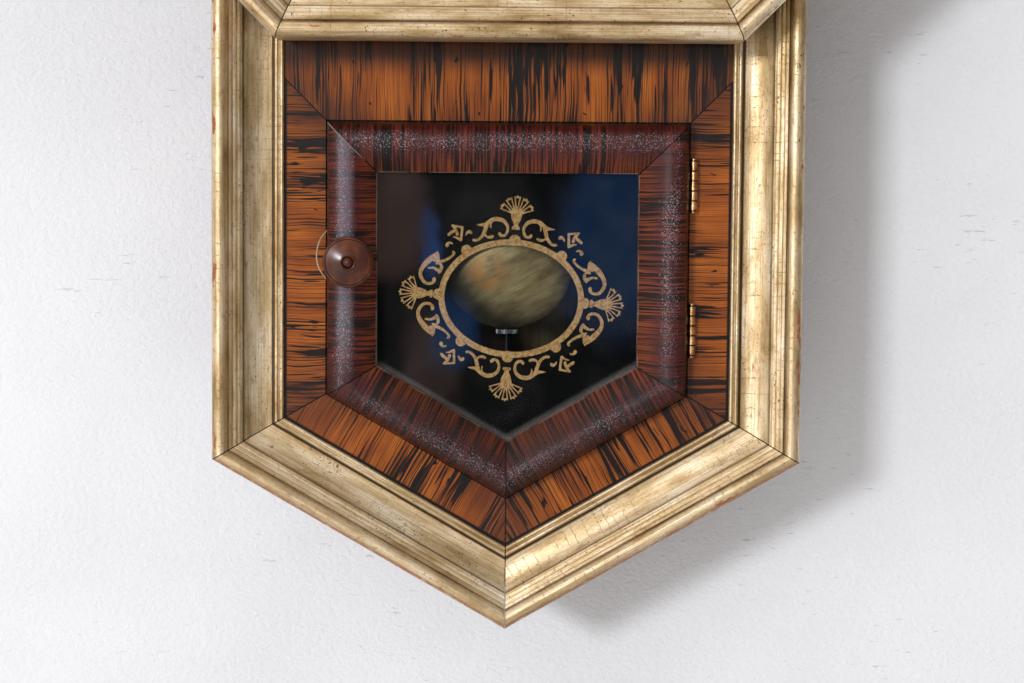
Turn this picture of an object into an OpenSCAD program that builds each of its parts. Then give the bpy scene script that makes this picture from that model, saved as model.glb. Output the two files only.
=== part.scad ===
// Drop-octagon wall clock with a striking movement, a short pendulum and a coil gong.
// X is to the right, +Z is up and the wall is at y = 0 behind the clock, which faces -Y.
// The origin is the middle of the hanging hole, on the wall side of its plate.
// "Forward" means a distance out from the wall, towards the front of the clock.

/* [Head] */
// Width across the flats of the gilt octagon
octagon_w = 430; // [400:1:500]
// Width across the flats of the box behind the octagon
head_box_w = 340; // [336:1:356]
// How far the dial centre lies below the hanging hole
hang_to_dial = 150; // [120:1:158]
// Thickness of the octagon's veneered boards
ring_t = 14; // [10:0.5:18]
// Radius of the round opening in the octagon
ring_opening_r = 150; // [148:0.5:153]
// Thickness of the head's boards
head_board_t = 12; // [9:0.5:12]
// Thickness of the back board
back_t = 9; // [8:0.5:10]

/* [Drop] */
// Width over the gilt moulding of the drop
drop_w = 232; // [222:1:280]
// Distance from the octagon down to the drop's lower outside corners
drop_side_h = 164; // [150:1:240]
// How far the drop's box comes forward of the wall
drop_depth = 70; // [70:1:72]
// Thickness of the drop's boards
drop_board_t = 10; // [8:0.5:12]
// Thickness of the veneered boards round the door
panel_t = 10; // [8:0.5:12]
// Width of the gilt mouldings
gilt_w = 28; // [24:0.5:32]
// How far a gilt moulding stands above the veneer beside it
gilt_rise = 9.7; // [9:0.1:12]

/* [Door] */
// Width of veneer between the gilt moulding and the door
door_margin = 17; // [14:0.5:20]
// Distance from the octagon down to the top of the door
door_top = 31; // [26:0.5:40]
// Width of the door's mouldings
door_rail_w = 19.6; // [17:0.1:22]
// Gap between the door and the boards round it
door_gap = 0.8; // [0.8:0.1:1.2]
// How far the boards reach behind the door's edge
door_stop_w = 3; // [2:0.5:3.5]
// How far the door's ridge stands in front of the veneer
door_ridge = 12; // [9:0.5:13]
// How far the door's outside edge stands in front of the veneer
door_edge = 3.5; // [3:0.5:5]
// Thickness of the painted glass
glass_t = 2; // [1.6:0.1:2.4]
// Radius of the turned knob
knob_r = 10; // [8:0.5:11]
// Distance from the octagon down to the middle of the knob
knob_drop = 85.5; // [70:0.5:110]
// Distances from the octagon down to the middles of the two hinges
hinge_drop = [55, 112]; // [40:1:120]
// Length of a hinge barrel
hinge_l = 19.5; // [15:0.5:24]

/* [Dial] */
// Radius of the round glass that shows the dial
sight_r = 147.5; // [140:0.5:147.5]
// Outside radius of the brass bezel
bezel_r = 164; // [160:0.5:168]
// Radius of the painted dial plate
dial_r = 156; // [154:0.5:156]
// Thickness of the dial plate
dial_t = 0.6; // [0.5:0.1:1]
// Hour and minute that the hands show at rest
rest_time = [10, 9]; // [0:1:59]
// Length of the minute hand from its centre
minute_hand_l = 124; // [100:1:128]
// Length of the hour hand from its centre
hour_hand_l = 84; // [70:1:95]

/* [Movement] */
// Distance of the back plate from the wall
plates_from = 16; // [15:0.5:18]
// Thickness of a brass plate
plate_t = 1.5; // [1:0.1:2]
// Gap between the two plates
plate_gap = 36; // [36:0.5:38]
// Half width of the plates
plate_half_w = 58; // [57:1:64]
// Heights of the plates' lower and upper edges from the dial centre
plate_z = [-67, 55]; // [-80:1:70]
// Module of the great wheels, the size of one tooth
great_module = 0.64; // [0.6:0.01:0.66]
// Module of the centre wheel
centre_module = 0.64; // [0.6:0.01:0.64]
// Module of the third wheel
third_module = 0.55; // [0.5:0.01:0.56]
// Radius over the tips of the escape wheel
escape_r = 17; // [14:0.5:18]
// Radius of an arbor at its pivots
arbor_r = 1.2; // [1:0.1:1.4]
// Running clearance round every arbor and pin
running = 0.06; // [0.02:0.01:0.1]

/* [Pendulum] */
// Distance from the octagon down to the middle of the bob
bob_drop = 86.5; // [80:0.5:100]
// Radius of the bob
bob_r = 26; // [20:0.5:27]
// Thickness of the bob at its middle
bob_t = 12; // [8:0.5:12]
// Distance of the pendulum from the wall
pendulum_forward = 69; // [68.5:0.5:70]
// Radius of the pendulum rod
rod_r = 0.9; // [0.8:0.1:1.1]

/* [Gong] */
// Turns of the coil gong
gong_turns = 4; // [2:1:4]
// Step from one turn of the gong to the next
gong_pitch = 7; // [5:0.5:7]
// Radius of the gong's wire
gong_wire_r = 1.1; // [0.9:0.1:1.4]
// Distance from the octagon down to the middle of the gong
gong_drop = 30; // [20:1:50]

/* [Hidden] */
$fn = 96;

// Heights and depths of the case
dial_z = -hang_to_dial;
edge_z = -octagon_w / 2;
seat = 0.3;
panel_to = drop_depth + panel_t;
ring_from = panel_to + gilt_rise + seat;
ring_to = ring_from + ring_t;
mitre_joint = 0.06;
eps = 0.01;

// An outline is a list of [angle of the edge's outward normal, distance from the dial centre]
octagon_angles = [for (i = [0:7]) i * 45];
function even_outline(half) = [for (a = octagon_angles) [a, half]];
drop_slope = 30;
drop_half = drop_w / 2;
function drop_outline(inset, top) =
    let (low = drop_half * sin(drop_slope) + (drop_side_h - edge_z) * cos(drop_slope) - inset,
         half = drop_half - inset)
    [[0, half], [90, top], [180, half], [270 - drop_slope, low], [270 + drop_slope, low]];
function crossing(a, b) =
    let (d = sin(b[0] - a[0]))
    [(a[1] * sin(b[0]) - b[1] * sin(a[0])) / d, (b[1] * cos(a[0]) - a[1] * cos(b[0])) / d];
function corners(outline) =
    [for (i = [0:len(outline) - 1]) crossing(outline[(i + len(outline) - 1) % len(outline)], outline[i])];
function inset_by(outline, d) = [for (e = outline) [e[0], e[1] - d]];

// Insets from the drop's outside edge
door_inset = gilt_w + door_margin;
sight_inset = door_inset + door_rail_w;
rebate_w = 4.6;
door_top_z = edge_z - door_top;
door_outline = drop_outline(door_inset, door_top_z);
sight_outline = drop_outline(sight_inset, door_top_z - door_rail_w);
board_outline = drop_outline(gilt_w, door_top_z + door_margin);
behind_octagon_z = -head_box_w / 2 - 0.5;
case_board_inset = 12;

// Depths of the door, worked from the veneer forward
door_back = drop_depth + 3 + eps;
glass_from = panel_to - 3;
glass_to = glass_from + glass_t;
door_front = panel_to + door_ridge;

// Places in the movement, from the dial centre
front_plate_from = plates_from + plate_t + plate_gap;
front_plate_to = front_plate_from + plate_t;
inside = plates_from + plate_t;
pivot_from = plates_from - 0.2;
pivot_to = front_plate_to + 0.2;
great_teeth = 84;
strike_great_teeth = 80;
centre_leaves = 7;
second_leaves = 8;
time_main = great_module * (great_teeth + centre_leaves) / 2 * [cos(12), -sin(12)];
strike_main = [-time_main[0], time_main[1]];
wheel_teeth = 78;
leaves = 8;
centre = [0, 0];
centre_mesh = centre_module * (wheel_teeth + leaves) / 2;
third = centre_mesh * [cos(81.6), -sin(81.6)];
third_mesh = third_module * (wheel_teeth + leaves) / 2;
escape = [0, third[1] - sqrt(third_mesh * third_mesh - third[0] * third[0])];
escape_teeth = 36;
pallet_angle = 37.5;
verge = [0, escape[1] + escape_r / cos(pallet_angle)];
post = [0, verge[1] + 7];
second_module = 0.6;
second_teeth = 72;
strike_third_module = 0.5;
strike_third_teeth = 60;
fly_leaves = 7;
second = strike_main + great_module * (strike_great_teeth + second_leaves) / 2 * [cos(72), sin(72)];
strike_third = second + second_module * (second_teeth + leaves) / 2 * [cos(15), sin(15)];
fly = strike_third + strike_third_module * (strike_third_teeth + fly_leaves) / 2 * [cos(20), sin(20)];

// Planes of the wheels, from the inside face of the back plate
click_plane = inside + 0.8;
great_plane = inside + 2.7;
count_plane = inside + 5.2;
spring_plane = inside + 7;
spring_w = 16;
centre_plane = inside + 25.5;
third_plane = inside + 30;
second_plane = inside + 30;
strike_third_plane = inside + 33.2;
wheel_t = 1.5;
great_t = 2;

// Planes in front of the front plate
escape_plane = front_plate_to + 2.6;
cock_plane = front_plate_to + 7;
cock_half_w = escape_r + 6;
cannon_plane = front_plate_to + 2;
minute_plane = front_plate_to + 2.4;
hour_plane = front_plate_to + 6.5;
motion_centres = 19.2;
minute_stud = motion_centres * [cos(135), sin(135)];
cannon_teeth = 12;
minute_teeth = 36;
minute_leaves = 10;
hour_teeth = 40;
pipe_r = 2;
hour_pipe_r = 3.3;
hour_hand_plane = ring_from + 2.6;
minute_hand_plane = ring_from + 7;
hand_t = 0.7;
centre_arbor_to = minute_hand_plane + 3.5;
winding_r = 3;
winding_to = ring_from - 4;

// Springs, clicks and the strike work
ratchet_r = 6.4;
spring_t = 0.6;
spring_pitch = 2.4;
spring_turns = 7;
spring_in_r = winding_r + 1.2;
spring_end = spring_in_r + spring_pitch * spring_turns;
spring_eye = [spring_end + 3.2, 22];
spring_post = time_main + spring_eye;
post_r = 2.6;
click_pivot = [12.5, 4.5];
count_r = 22;
lever_pivot = [-44, 29];
hammer_pivot = [-36, -57];
gong_forward = inside + 2;
gong_start_r = 12;
gong_r = gong_start_r + gong_turns * gong_pitch;
gong_z = edge_z - gong_drop;
gong_screw = [-3, gong_z - 3];
hammer_gap = 1.5;
hammer_head_l = 11;
hammer_head_r = 4.5;
pillar_places = [for (x = [-1, 1], z = [plate_z[0] + 6, plate_z[1] - 6]) [x * (plate_half_w - 6), z]];
plate_screw_places = [for (x = [-1, 1], z = [plate_z[0] + 18, plate_z[1] - 18]) [x * (plate_half_w - 5), z]];
plate_screw_r = 1.5;

// Pendulum
bob_z = edge_z - bob_drop;
nut_r = 4.35;
nut_h = 1.6;
nut_z = bob_z - bob_r - 0.4 - nut_h;
rod_end_z = nut_z - 7;

// Door knob, latch and hinges
knob_z = edge_z - knob_drop;
door_half = drop_half - door_inset;
knob_x = -(door_half - 9);
shaft_r = 1.5;
tongue_l = 12;
barrel_r = 1.6;
hinge_pin_r = 0.7;
hinge_x = door_half + door_gap + 1.1;
hinge_forward = panel_to + 2;
leaf_t = 0.9;
knuckles = 5;
knuckle_gap = 0.06;

// Bezel
bezel_hinge_x = bezel_r + 4;
bezel_hinge_forward = ring_to + 2.4;
bezel_knuckle_h = 6;
bezel_leaf_l = octagon_w / 2 - gilt_w - 5 - bezel_hinge_x;
pane_r = sight_r + 3;

// Hanging plate
hang_r = 4;
hang_plate_t = 2;
hang_screw_places = [[-18, 0], [18, 0]];
dial_nail_places = [for (k = [0:7]) disc_point(centre, (ring_opening_r + dial_r) / 2, 22.5 + k * 45)];

// Moves its children, drawn from the dial centre, to the dial's place
module at_dial() {
    translate([0, 0, dial_z]) children();
}

// Stands a flat drawing up in the clock's own plane, between two distances forward of the wall
module slab(from, to) {
    translate([0, -from, 0]) rotate([90, 0, 0]) linear_extrude(to - from) children();
}

// Turns an outline of [radius, forward] about an axis that runs forward
module turned() {
    rotate([90, 0, 0]) rotate_extrude() children();
}

// Round bar that runs forward
module bar(p, r, from, to) {
    translate([p[0], -from, p[1]]) rotate([90, 0, 0]) cylinder(r = r, h = to - from);
}

module bar_at_each(places, r, from, to) {
    for (p = places) bar(p, r, from, to);
}

// Round bar that runs to the right
module cross_bar(x, forward, z, r, l) {
    translate([x, -forward, z]) rotate([0, 90, 0]) cylinder(r = r, h = l);
}

// Straight round wire between two points, given as [x, forward, z]
module wire(a, b, r) {
    d = [b[0] - a[0], -b[1] + a[1], b[2] - a[2]];
    translate([a[0], -a[1], a[2]])
        rotate([0, acos(d[2] / norm(d)), atan2(d[1], d[0])]) cylinder(r = r, h = norm(d), $fn = 24);
}

// The part of a mitred frame that belongs to edge i, up to a hairline joint at each end,
// and widened past both of its faces by a given amount
function mitre_wedge(outline, width, i, over) =
    let (outer = corners(outline), inner = corners(inset_by(outline, width)), n = len(outline),
         j = (i + 1) % n, a = outer[i] - inner[i], b = outer[j] - inner[j], s = over / width,
         along = (outer[j] - outer[i]) / norm(outer[j] - outer[i]) * mitre_joint)
    [outer[i] + a * s + along, outer[j] + b * s - along,
     inner[j] - b * s - along, inner[i] - a * s + along];

// One mitred length of moulding: the profile is drawn as [distance inward, forward]
module mitred_length(outline, width, i, over = 1) {
    e = outline[i];
    intersection() {
        translate([e[1] * cos(e[0]), 0, e[1] * sin(e[0])])
            rotate([0, -e[0], 0])
                translate([0, 0, -octagon_w])
                    linear_extrude(2 * octagon_w) rotate(180) children();
        slab(0, ring_from + 60) polygon(mitre_wedge(outline, width, i, over));
    }
}

function disc_point(p, r, a) = p + r * [cos(a), sin(a)];
function arc(middle, r, from, to, steps) =
    [for (k = [0:steps]) disc_point(middle, r, from + (to - from) * k / steps)];

// Gilt moulding: a bead on the outside, three reeds, a step, a cove and a double bead inside
function gilt_profile(base, top) =
    let (bead = 3.4, reed = 0.82, step = 12, foot = gilt_w - 4.6, cove_r = 17.35)
    concat(
        [[0, base]],
        arc([bead, top - bead], bead, 180, 20, 10),
        [for (k = [0:2]) each arc([2 * bead + reed + k * 2 * reed, top - 1.8 - k * 0.8], reed, 150, 10, 5)],
        [[step, top - 3.6]],
        arc([foot, top - 8.9 + cove_r], cove_r, 180 + asin((cove_r - 4.1) / cove_r), 270, 8),
        [[foot + 0.3, top - 9.3], [foot + 0.6, top - 9.3]],
        arc([gilt_w - 3, top - 8.7], 1, 180, 20, 5),
        arc([gilt_w - 1, top - 8.7], 1, 160, 0, 5),
        [[gilt_w, base]]);

// Door moulding: a low outside edge, a ridge a third of the way in, and a long slope to the glass
function door_profile() =
    let (ridge = 7, sight_h = glass_to + 4.2)
    concat(
        [[0, door_back], [0, panel_to + door_edge]],
        [for (k = [1:10]) let (t = k / 10)
            [ridge * (1 - cos(90 * t)), panel_to + door_edge + (door_ridge - door_edge) * sin(90 * t)]],
        [for (k = [1:10]) let (t = k / 10)
            [ridge + (door_rail_w - ridge) * t, door_front - (door_front - sight_h) * pow(t, 1.7)]],
        [[door_rail_w, glass_to], [door_rail_w - rebate_w, glass_to], [door_rail_w - rebate_w, door_back]]);

// Wheel teeth: four points a tooth
function teeth(n, r_root, r_tip, root_share, tip_share, phase) =
    let (tooth = [[-root_share, r_root], [-tip_share, r_tip], [tip_share, r_tip], [root_share, r_root]])
    [for (k = [0:n - 1], q = tooth) disc_point([0, 0], q[1], phase + (k + q[0] / 2) * 360 / n)];

// A spoked wheel blank drawn about its own centre
module wheel_drawing(n, m, phase, spokes, bore, rim = 3, hub = 4) {
    r = n * m / 2;
    difference() {
        polygon(teeth(n, r - 1.1 * m, r + 0.75 * m, 0.5, 0.22, phase));
        circle(r = bore);
        if (spokes > 0) difference() {
            circle(r = r - rim);
            circle(r = hub);
            for (k = [0:spokes - 1]) rotate(k * 360 / spokes + 90) translate([0, -1.1]) square([r, 2.2]);
        }
    }
}

module wheel(p, n, m, phase, spokes, bore, from, t, rim = 3, hub = 4) {
    translate([p[0], 0, p[1]]) slab(from, from + t) wheel_drawing(n, m, phase, spokes, bore, rim, hub);
}

// Lantern pinion: steel pins between two brass discs
module lantern(p, n, m, phase, from, to) {
    r = n * m / 2;
    cap = 0.7;
    bar(p, r + 0.55 * m, from, from + cap);
    bar(p, r + 0.55 * m, to - cap, to);
    for (k = [0:n - 1]) let (a = phase + k * 360 / n) bar(p + r * [cos(a), sin(a)], 0.17 * PI * m, from, to);
}

// The phase of a gear b that meshes with a gear a, whose teeth start at phase, along the line a to b
function mesh_phase(a, b, na, nb, phase) =
    let (line = atan2(b[1] - a[1], b[0] - a[0]))
    line + 180 + 180 / nb - (phase - line) * na / nb;

// Case
module back_board_drawing() {
    polygon(corners(even_outline(head_box_w / 2)));
    polygon(corners(drop_outline(case_board_inset, 0)));
}

module back_board() {
    color("burlywood") difference() {
        at_dial() slab(0, back_t) back_board_drawing();
        // Recess that takes the hanging plate flush, and a pocket behind its hole for the nail's head
        slab(-1, hang_plate_t) hanger_drawing();
        slab(hang_plate_t - eps, hang_plate_t + 5) translate([0, 2]) square([14, 18], center = true);
        bar_at_each(hang_screw_places, 1, hang_plate_t - eps, back_t - 1);
        at_dial() bar_at_each(plate_screw_places, plate_screw_r - 0.3, back_t - 5, back_t + 1);
        at_dial() bar(gong_screw, 1.6, -1, back_t + 1);
    }
}

module head_case_boards() {
    outline = even_outline(head_box_w / 2);
    color("sienna") at_dial() for (i = [0:7]) if (i != 6)
        mitred_length(outline, head_board_t, i)
            translate([0, back_t]) square([head_board_t, ring_from - back_t]);
}

// The drop's side boards run up past the box of the head and are cut along it
module drop_case_boards() {
    outline = drop_outline(case_board_inset, -40);
    color("sienna") at_dial() difference() {
        for (i = [0, 2, 3, 4])
            slab(back_t, drop_depth) polygon(mitre_wedge(outline, drop_board_t, i, 0));
        slab(back_t - 1, drop_depth + 1) polygon(corners(even_outline(head_box_w / 2)));
    }
}

module octagon_front() {
    inner = octagon_w / 2 - gilt_w;
    outline = even_outline(inner);
    width = inner - ring_opening_r + 30;
    color("peru") at_dial() for (i = [0:7]) difference() {
        slab(ring_from, ring_to) polygon(mitre_wedge(outline, width, i, 0));
        slab(ring_from - 1, ring_to + 1) circle(r = ring_opening_r, $fn = 180);
        bar_at_each(dial_nail_places, 0.6, ring_from - 1, ring_from + 6);
    }
}

module octagon_gilt_moulding() {
    color("goldenrod") at_dial() for (i = [0:7])
        mitred_length(even_outline(octagon_w / 2), gilt_w, i)
            polygon(gilt_profile(ring_from, ring_to + gilt_rise));
}

module drop_front_frame() {
    stop_inset = door_gap - door_stop_w;
    opening = inset_by(door_outline, -door_gap);
    color("peru") at_dial() difference() {
        for (i = [0:4]) {
            slab(drop_depth, panel_to) polygon(frame_board_drawing(i));
            if (i == 1) slab(panel_to - eps, ring_from)
                translate([-drop_half + gilt_w, edge_z + 2])
                    square([drop_w - 2 * gilt_w, behind_octagon_z - edge_z - 2]);
        }
        slab(door_back - eps, panel_to + 1) polygon(corners(opening));
        slab(drop_depth - 1, panel_to + 1) polygon(corners(inset_by(door_outline, door_stop_w)));
        hinge_leaf_recess();
        hinge_screw_run(hinge_screw_r + 0.03, true, hinge_screw_l + 0.5);
    }
}

// Boards round the door, mitred at the corners; the top one runs up behind the octagon
function frame_board_drawing(i) =
    let (width = door_margin + 8, w = mitre_wedge(board_outline, width, i, 0))
    i == 1
        ? [w[3], w[2], w[1], [w[1][0], behind_octagon_z], [w[0][0], behind_octagon_z], w[0]]
        : w;

module drop_gilt_moulding() {
    color("goldenrod") at_dial() for (i = [0, 2, 3, 4])
        mitred_length(drop_outline(0, behind_octagon_z), gilt_w, i)
            polygon(gilt_profile(drop_depth, panel_to + gilt_rise));
}

// Hanging plate
module hanger_drawing() {
    translate([0, 1]) square([50, 30], center = true);
}

module hanger_plate() {
    color("dimgray") difference() {
        slab(0, hang_plate_t) hanger_drawing();
        bar([0, 0], hang_r, -1, hang_plate_t + 1);
        bar_at_each(hang_screw_places, 1.05, -1, hang_plate_t + 1);
        bar_at_each(hang_screw_places, 2.6, -1, 1);
    }
}

module hanger_screws() {
    color("gray") for (p = hang_screw_places) {
        bar(p, 2.5, 0, 1 - eps);
        bar(p, 0.95, 0.5, back_t - 1.5);
    }
}

// Head
module movement_cleats() {
    color("burlywood") at_dial() difference() {
        for (side = [-1, 1]) slab(back_t, plates_from)
            translate([side * (plate_half_w - 2) - 8, plate_z[0] + 6])
                square([16, plate_z[1] - plate_z[0] - 12]);
        bar_at_each(plate_screw_places, plate_screw_r - 0.3, back_t - 1, plates_from + 1);
    }
}

module dial_plate() {
    color("ivory") at_dial() difference() {
        slab(ring_from - dial_t, ring_from) circle(r = dial_r, $fn = 180);
        bar(centre, 7, ring_from - 3, ring_from + 3);
        for (p = [time_main, strike_main]) bar(p, 6, ring_from - 3, ring_from + 3);
        bar_at_each(dial_nail_places, 0.6, ring_from - 3, ring_from + 3);
    }
}

module dial_nails() {
    color("gold") at_dial() for (p = dial_nail_places) {
        bar(p, 1.6, ring_from - dial_t - 0.8, ring_from - dial_t);
        bar(p, 0.55, ring_from - dial_t - 0.4, ring_from + 5);
    }
}

// The bezel stands on the octagon's face and holds the round glass under its inside lip
module dial_bezel() {
    back = ring_to + 0.1;
    pane_to = ring_to + 4.2;
    color("gold") at_dial() {
        turned() polygon(concat(
            [[pane_r + 0.3, back], [bezel_r, back], [bezel_r, back + 1.2]],
            arc([bezel_r - 1.6, back + 1.8], 1.6, 0, 120, 6),
            [[bezel_r - 3.6, back + 2.6]],
            arc([bezel_r - 9.4, back + 2.6], 5.4, 20, 120, 8),
            [[sight_r + 0.6, pane_to + 1.4], [sight_r, pane_to + 0.9], [sight_r, pane_to + 0.1],
             [pane_r + 0.3, pane_to + 0.1]]));
        // Tab and middle knuckle of the hinge
        difference() {
            union() {
                slab(back, back + 1.2) translate([bezel_r - 1, -bezel_knuckle_h / 2 + 0.1])
                    square([bezel_hinge_x - bezel_r + 1, bezel_knuckle_h - 0.2]);
                bezel_knuckle(-bezel_knuckle_h / 2 + 0.1, bezel_knuckle_h - 0.2, 2);
            }
            bezel_knuckle(-bezel_knuckle_h, 2 * bezel_knuckle_h, 0.9 + running);
        }
        // Small knob that the bezel is opened by
        translate([-bezel_r - 1.5, -back, 0]) rotate([90, 0, 0]) cylinder(r = 3.2, h = 2.4);
    }
}

module bezel_knuckle(z, h, r) {
    translate([bezel_hinge_x, -bezel_hinge_forward, z]) cylinder(r = r, h = h);
}

module bezel_hinge_leaf() {
    color("gold") at_dial() {
        for (z = [-1.5, 0.5]) bezel_knuckle(z * bezel_knuckle_h, bezel_knuckle_h, 2);
        bezel_knuckle(-1.5 * bezel_knuckle_h, 3 * bezel_knuckle_h, 0.9);
        difference() {
            slab(ring_to, ring_to + 1) translate([bezel_hinge_x, -1.5 * bezel_knuckle_h])
                square([bezel_leaf_l, 3 * bezel_knuckle_h]);
            slab(ring_to - 1, ring_to + 3) translate([bezel_hinge_x - 3, -bezel_knuckle_h / 2])
                square([5.6, bezel_knuckle_h]);
        }
    }
}

module bezel_glass() {
    color("lightblue", 0.35) at_dial()
        slab(ring_to + 2.2, ring_to + 4.2) circle(r = pane_r, $fn = 180);
}

module bezel_glass_ring() {
    color("gold") at_dial() turned() translate([pane_r - 0.7, ring_to + 1.3]) circle(r = 0.85);
}

// Hands
hour_at = 90 - (rest_time[0] + rest_time[1] / 60) * 30;
minute_at = 90 - rest_time[1] * 6;

// A spade hand, drawn pointing along +X
module hand_drawing(l, w, bore) {
    difference() {
        union() {
            circle(r = 5.2 * w);
            polygon([[0, -1.5 * w], [l * 0.7, -0.9 * w], [l * 0.7, 0.9 * w], [0, 1.5 * w]]);
            translate([l * 0.62, 0]) circle(r = 1.9 * w);
            intersection() {
                translate([l * 0.72, 3.6 * w]) circle(r = 8.2 * w);
                translate([l * 0.72, -3.6 * w]) circle(r = 8.2 * w);
            }
            polygon([[l * 0.76, -1.3 * w], [l, -0.35], [l, 0.35], [l * 0.76, 1.3 * w]]);
        }
        circle(r = bore);
    }
}

module hour_hand() {
    color("darkslategray") at_dial() slab(hour_hand_plane, hour_hand_plane + hand_t)
        rotate(hour_at) hand_drawing(hour_hand_l, 1.25, hour_pipe_r + 0.02);
}

module minute_hand() {
    color("darkslategray") at_dial() slab(minute_hand_plane, minute_hand_plane + hand_t)
        rotate(minute_at) hand_drawing(minute_hand_l, 1, pipe_r + 0.02);
}

module hand_collet() {
    color("gold") at_dial() turned() polygon([
        [arbor_r + running, minute_hand_plane + hand_t], [3, minute_hand_plane + hand_t],
        [2.6, minute_hand_plane + hand_t + 1], [1.8, minute_hand_plane + hand_t + 1.6],
        [arbor_r + running, minute_hand_plane + hand_t + 1.6]]);
}

// Door
module door_frame() {
    color("maroon") at_dial() difference() {
        for (i = [0:4]) mitred_length(door_outline, door_rail_w, i) polygon(door_profile());
        bar([knob_x, knob_z], shaft_r + running, 0, door_front + 10);
        door_leaf_recess();
        hinge_screw_run(hinge_screw_r + 0.03, false, hinge_screw_l + 0.5);
    }
}

module door_tablet() {
    color("darkslateblue", 0.5) at_dial() slab(glass_from, glass_to)
        polygon(corners(inset_by(sight_outline, -rebate_w + 0.4)));
}

module tablet_beads() {
    width = rebate_w - 1;
    color("saddlebrown") at_dial() for (i = [0:4])
        slab(door_back + 0.8, glass_from)
            polygon(mitre_wedge(inset_by(sight_outline, -rebate_w), width, i, 0));
}

module door_knob() {
    base = door_front + 0.15;
    color("saddlebrown") at_dial() translate([knob_x, 0, knob_z]) {
        turned() polygon(concat(
            [[0, base], [knob_r - 1.4, base]],
            arc([knob_r - 1.3, base + 1.3], 1.3, -90, 60, 6),
            [for (k = [0:6]) let (t = k / 6)
                [knob_r - 1.2 - (knob_r - 4.4) * t, base + 2.4 + 3 * sin(90 * t)]],
            arc([2.8, base + 5.9], 0.5, 40, 150, 5),
            [[1.9, base + 5.7]],
            arc([0, base + 5.6], 1.8, 20, 90, 5)));
        bar([0, 0], shaft_r, drop_depth - 2.6, base + 0.5);
    }
}

module latch_tongue() {
    back = drop_depth - 2.4;
    color("goldenrod") at_dial() translate([knob_x, 0, knob_z]) difference() {
        slab(back, back + 1.8) union() {
            circle(r = 3.4);
            translate([-2.4, 0]) square([4.8, tongue_l]);
            translate([0, tongue_l]) circle(r = 2.4);
        }
        bar([0, 0], shaft_r + 0.02, 0, drop_depth);
    }
}

module hinge_places() {
    for (d = hinge_drop) translate([hinge_x, -hinge_forward, edge_z - d]) children();
}

module barrel(z, h, r) {
    translate([0, 0, z]) cylinder(r = r, h = h);
}

// Knuckles of one leaf: the case's are the even ones, the door's the odd ones
module knuckle_run(first) {
    step = hinge_l / knuckles;
    for (k = [first:2:knuckles - 1])
        barrel(-hinge_l / 2 + k * step + knuckle_gap, step - 2 * knuckle_gap, barrel_r);
}

leaf_from = door_back + 1.2;
case_leaf_x = door_half + door_gap - 0.1 - hinge_x;
door_leaf_x = door_half - hinge_x;
leaf_top = 0.6;
leaf_arm = 0.8;

module hinge_leaf_recess() {
    hinge_places() translate([case_leaf_x, -4, -hinge_l / 2])
        cube([leaf_t, hinge_forward - leaf_from + 4, hinge_l]);
}

module door_leaf_recess() {
    hinge_places() translate([door_leaf_x - leaf_t, leaf_top - 0.05, -hinge_l / 2])
        cube([leaf_t + 1, hinge_forward - leaf_from - leaf_top + 0.05, hinge_l]);
}

// Screws of a leaf run sideways: to the right into the case, or to the left into the door
module hinge_screw_run(r, into_case, l) {
    hinge_places() for (z = [-0.3, 0.3] * hinge_l)
        translate([into_case ? case_leaf_x : door_leaf_x - l, hinge_forward - leaf_from - 2.6, z])
            rotate([0, 90, 0]) cylinder(r = r, h = l);
}

hinge_screw_r = 0.8;
hinge_screw_l = 9;

module hinge_case_screws() {
    color("gold") at_dial() hinge_screw_run(hinge_screw_r, true, hinge_screw_l);
}

module hinge_door_screws() {
    color("gold") at_dial() hinge_screw_run(hinge_screw_r, false, hinge_screw_l);
}

module door_hinge_case_leaves() {
    step = hinge_l / knuckles;
    color("peru") at_dial() difference() {
        hinge_places() {
            translate([case_leaf_x, 0, -hinge_l / 2])
                cube([leaf_t, hinge_forward - leaf_from, hinge_l]);
            knuckle_run(0);
        }
        hinge_places() for (k = [1, 3])
            translate([case_leaf_x - 1, -1, -hinge_l / 2 + k * step - knuckle_gap])
                cube([leaf_t + 4, 1 + barrel_r + seat, step + 2 * knuckle_gap]);
        hinge_places() barrel(-hinge_l, 2 * hinge_l, hinge_pin_r + 0.01);
        hinge_screw_run(hinge_screw_r + 0.03, true, hinge_screw_l + 0.5);
    }
}

module door_hinge_door_leaves() {
    step = hinge_l / knuckles;
    color("peru") at_dial() difference() {
        hinge_places() {
            translate([door_leaf_x - leaf_t, leaf_top, -hinge_l / 2])
                cube([leaf_t, hinge_forward - leaf_from - leaf_top, hinge_l]);
            for (k = [1, 3])
                translate([door_leaf_x - leaf_t, leaf_top, -hinge_l / 2 + k * step + knuckle_gap])
                cube([leaf_t - door_leaf_x - leaf_arm, leaf_arm, step - 2 * knuckle_gap]);
            knuckle_run(1);
        }
        hinge_places() barrel(-hinge_l, 2 * hinge_l, hinge_pin_r + running);
        hinge_screw_run(hinge_screw_r + 0.03, false, hinge_screw_l + 0.5);
    }
}

module door_hinge_pins() {
    color("gold") at_dial() hinge_places() {
        barrel(-hinge_l / 2 - 0.5, hinge_l + 1, hinge_pin_r);
        for (z = [-hinge_l / 2 - 0.9, hinge_l / 2 + 0.1]) barrel(z, 0.8, barrel_r - 0.3);
    }
}

// Movement plates
module plate_drawing() {
    difference() {
        translate([-plate_half_w, plate_z[0]]) square([2 * plate_half_w, plate_z[1] - plate_z[0]]);
        for (p = [centre, third, escape, second, strike_third, fly, lever_pivot, hammer_pivot])
            translate(p) circle(r = arbor_r + running);
        for (p = [time_main, strike_main]) translate(p) circle(r = winding_r + running);
        translate([0, plate_z[1] - 14]) square([30, 10], center = true);
    }
}

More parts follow.
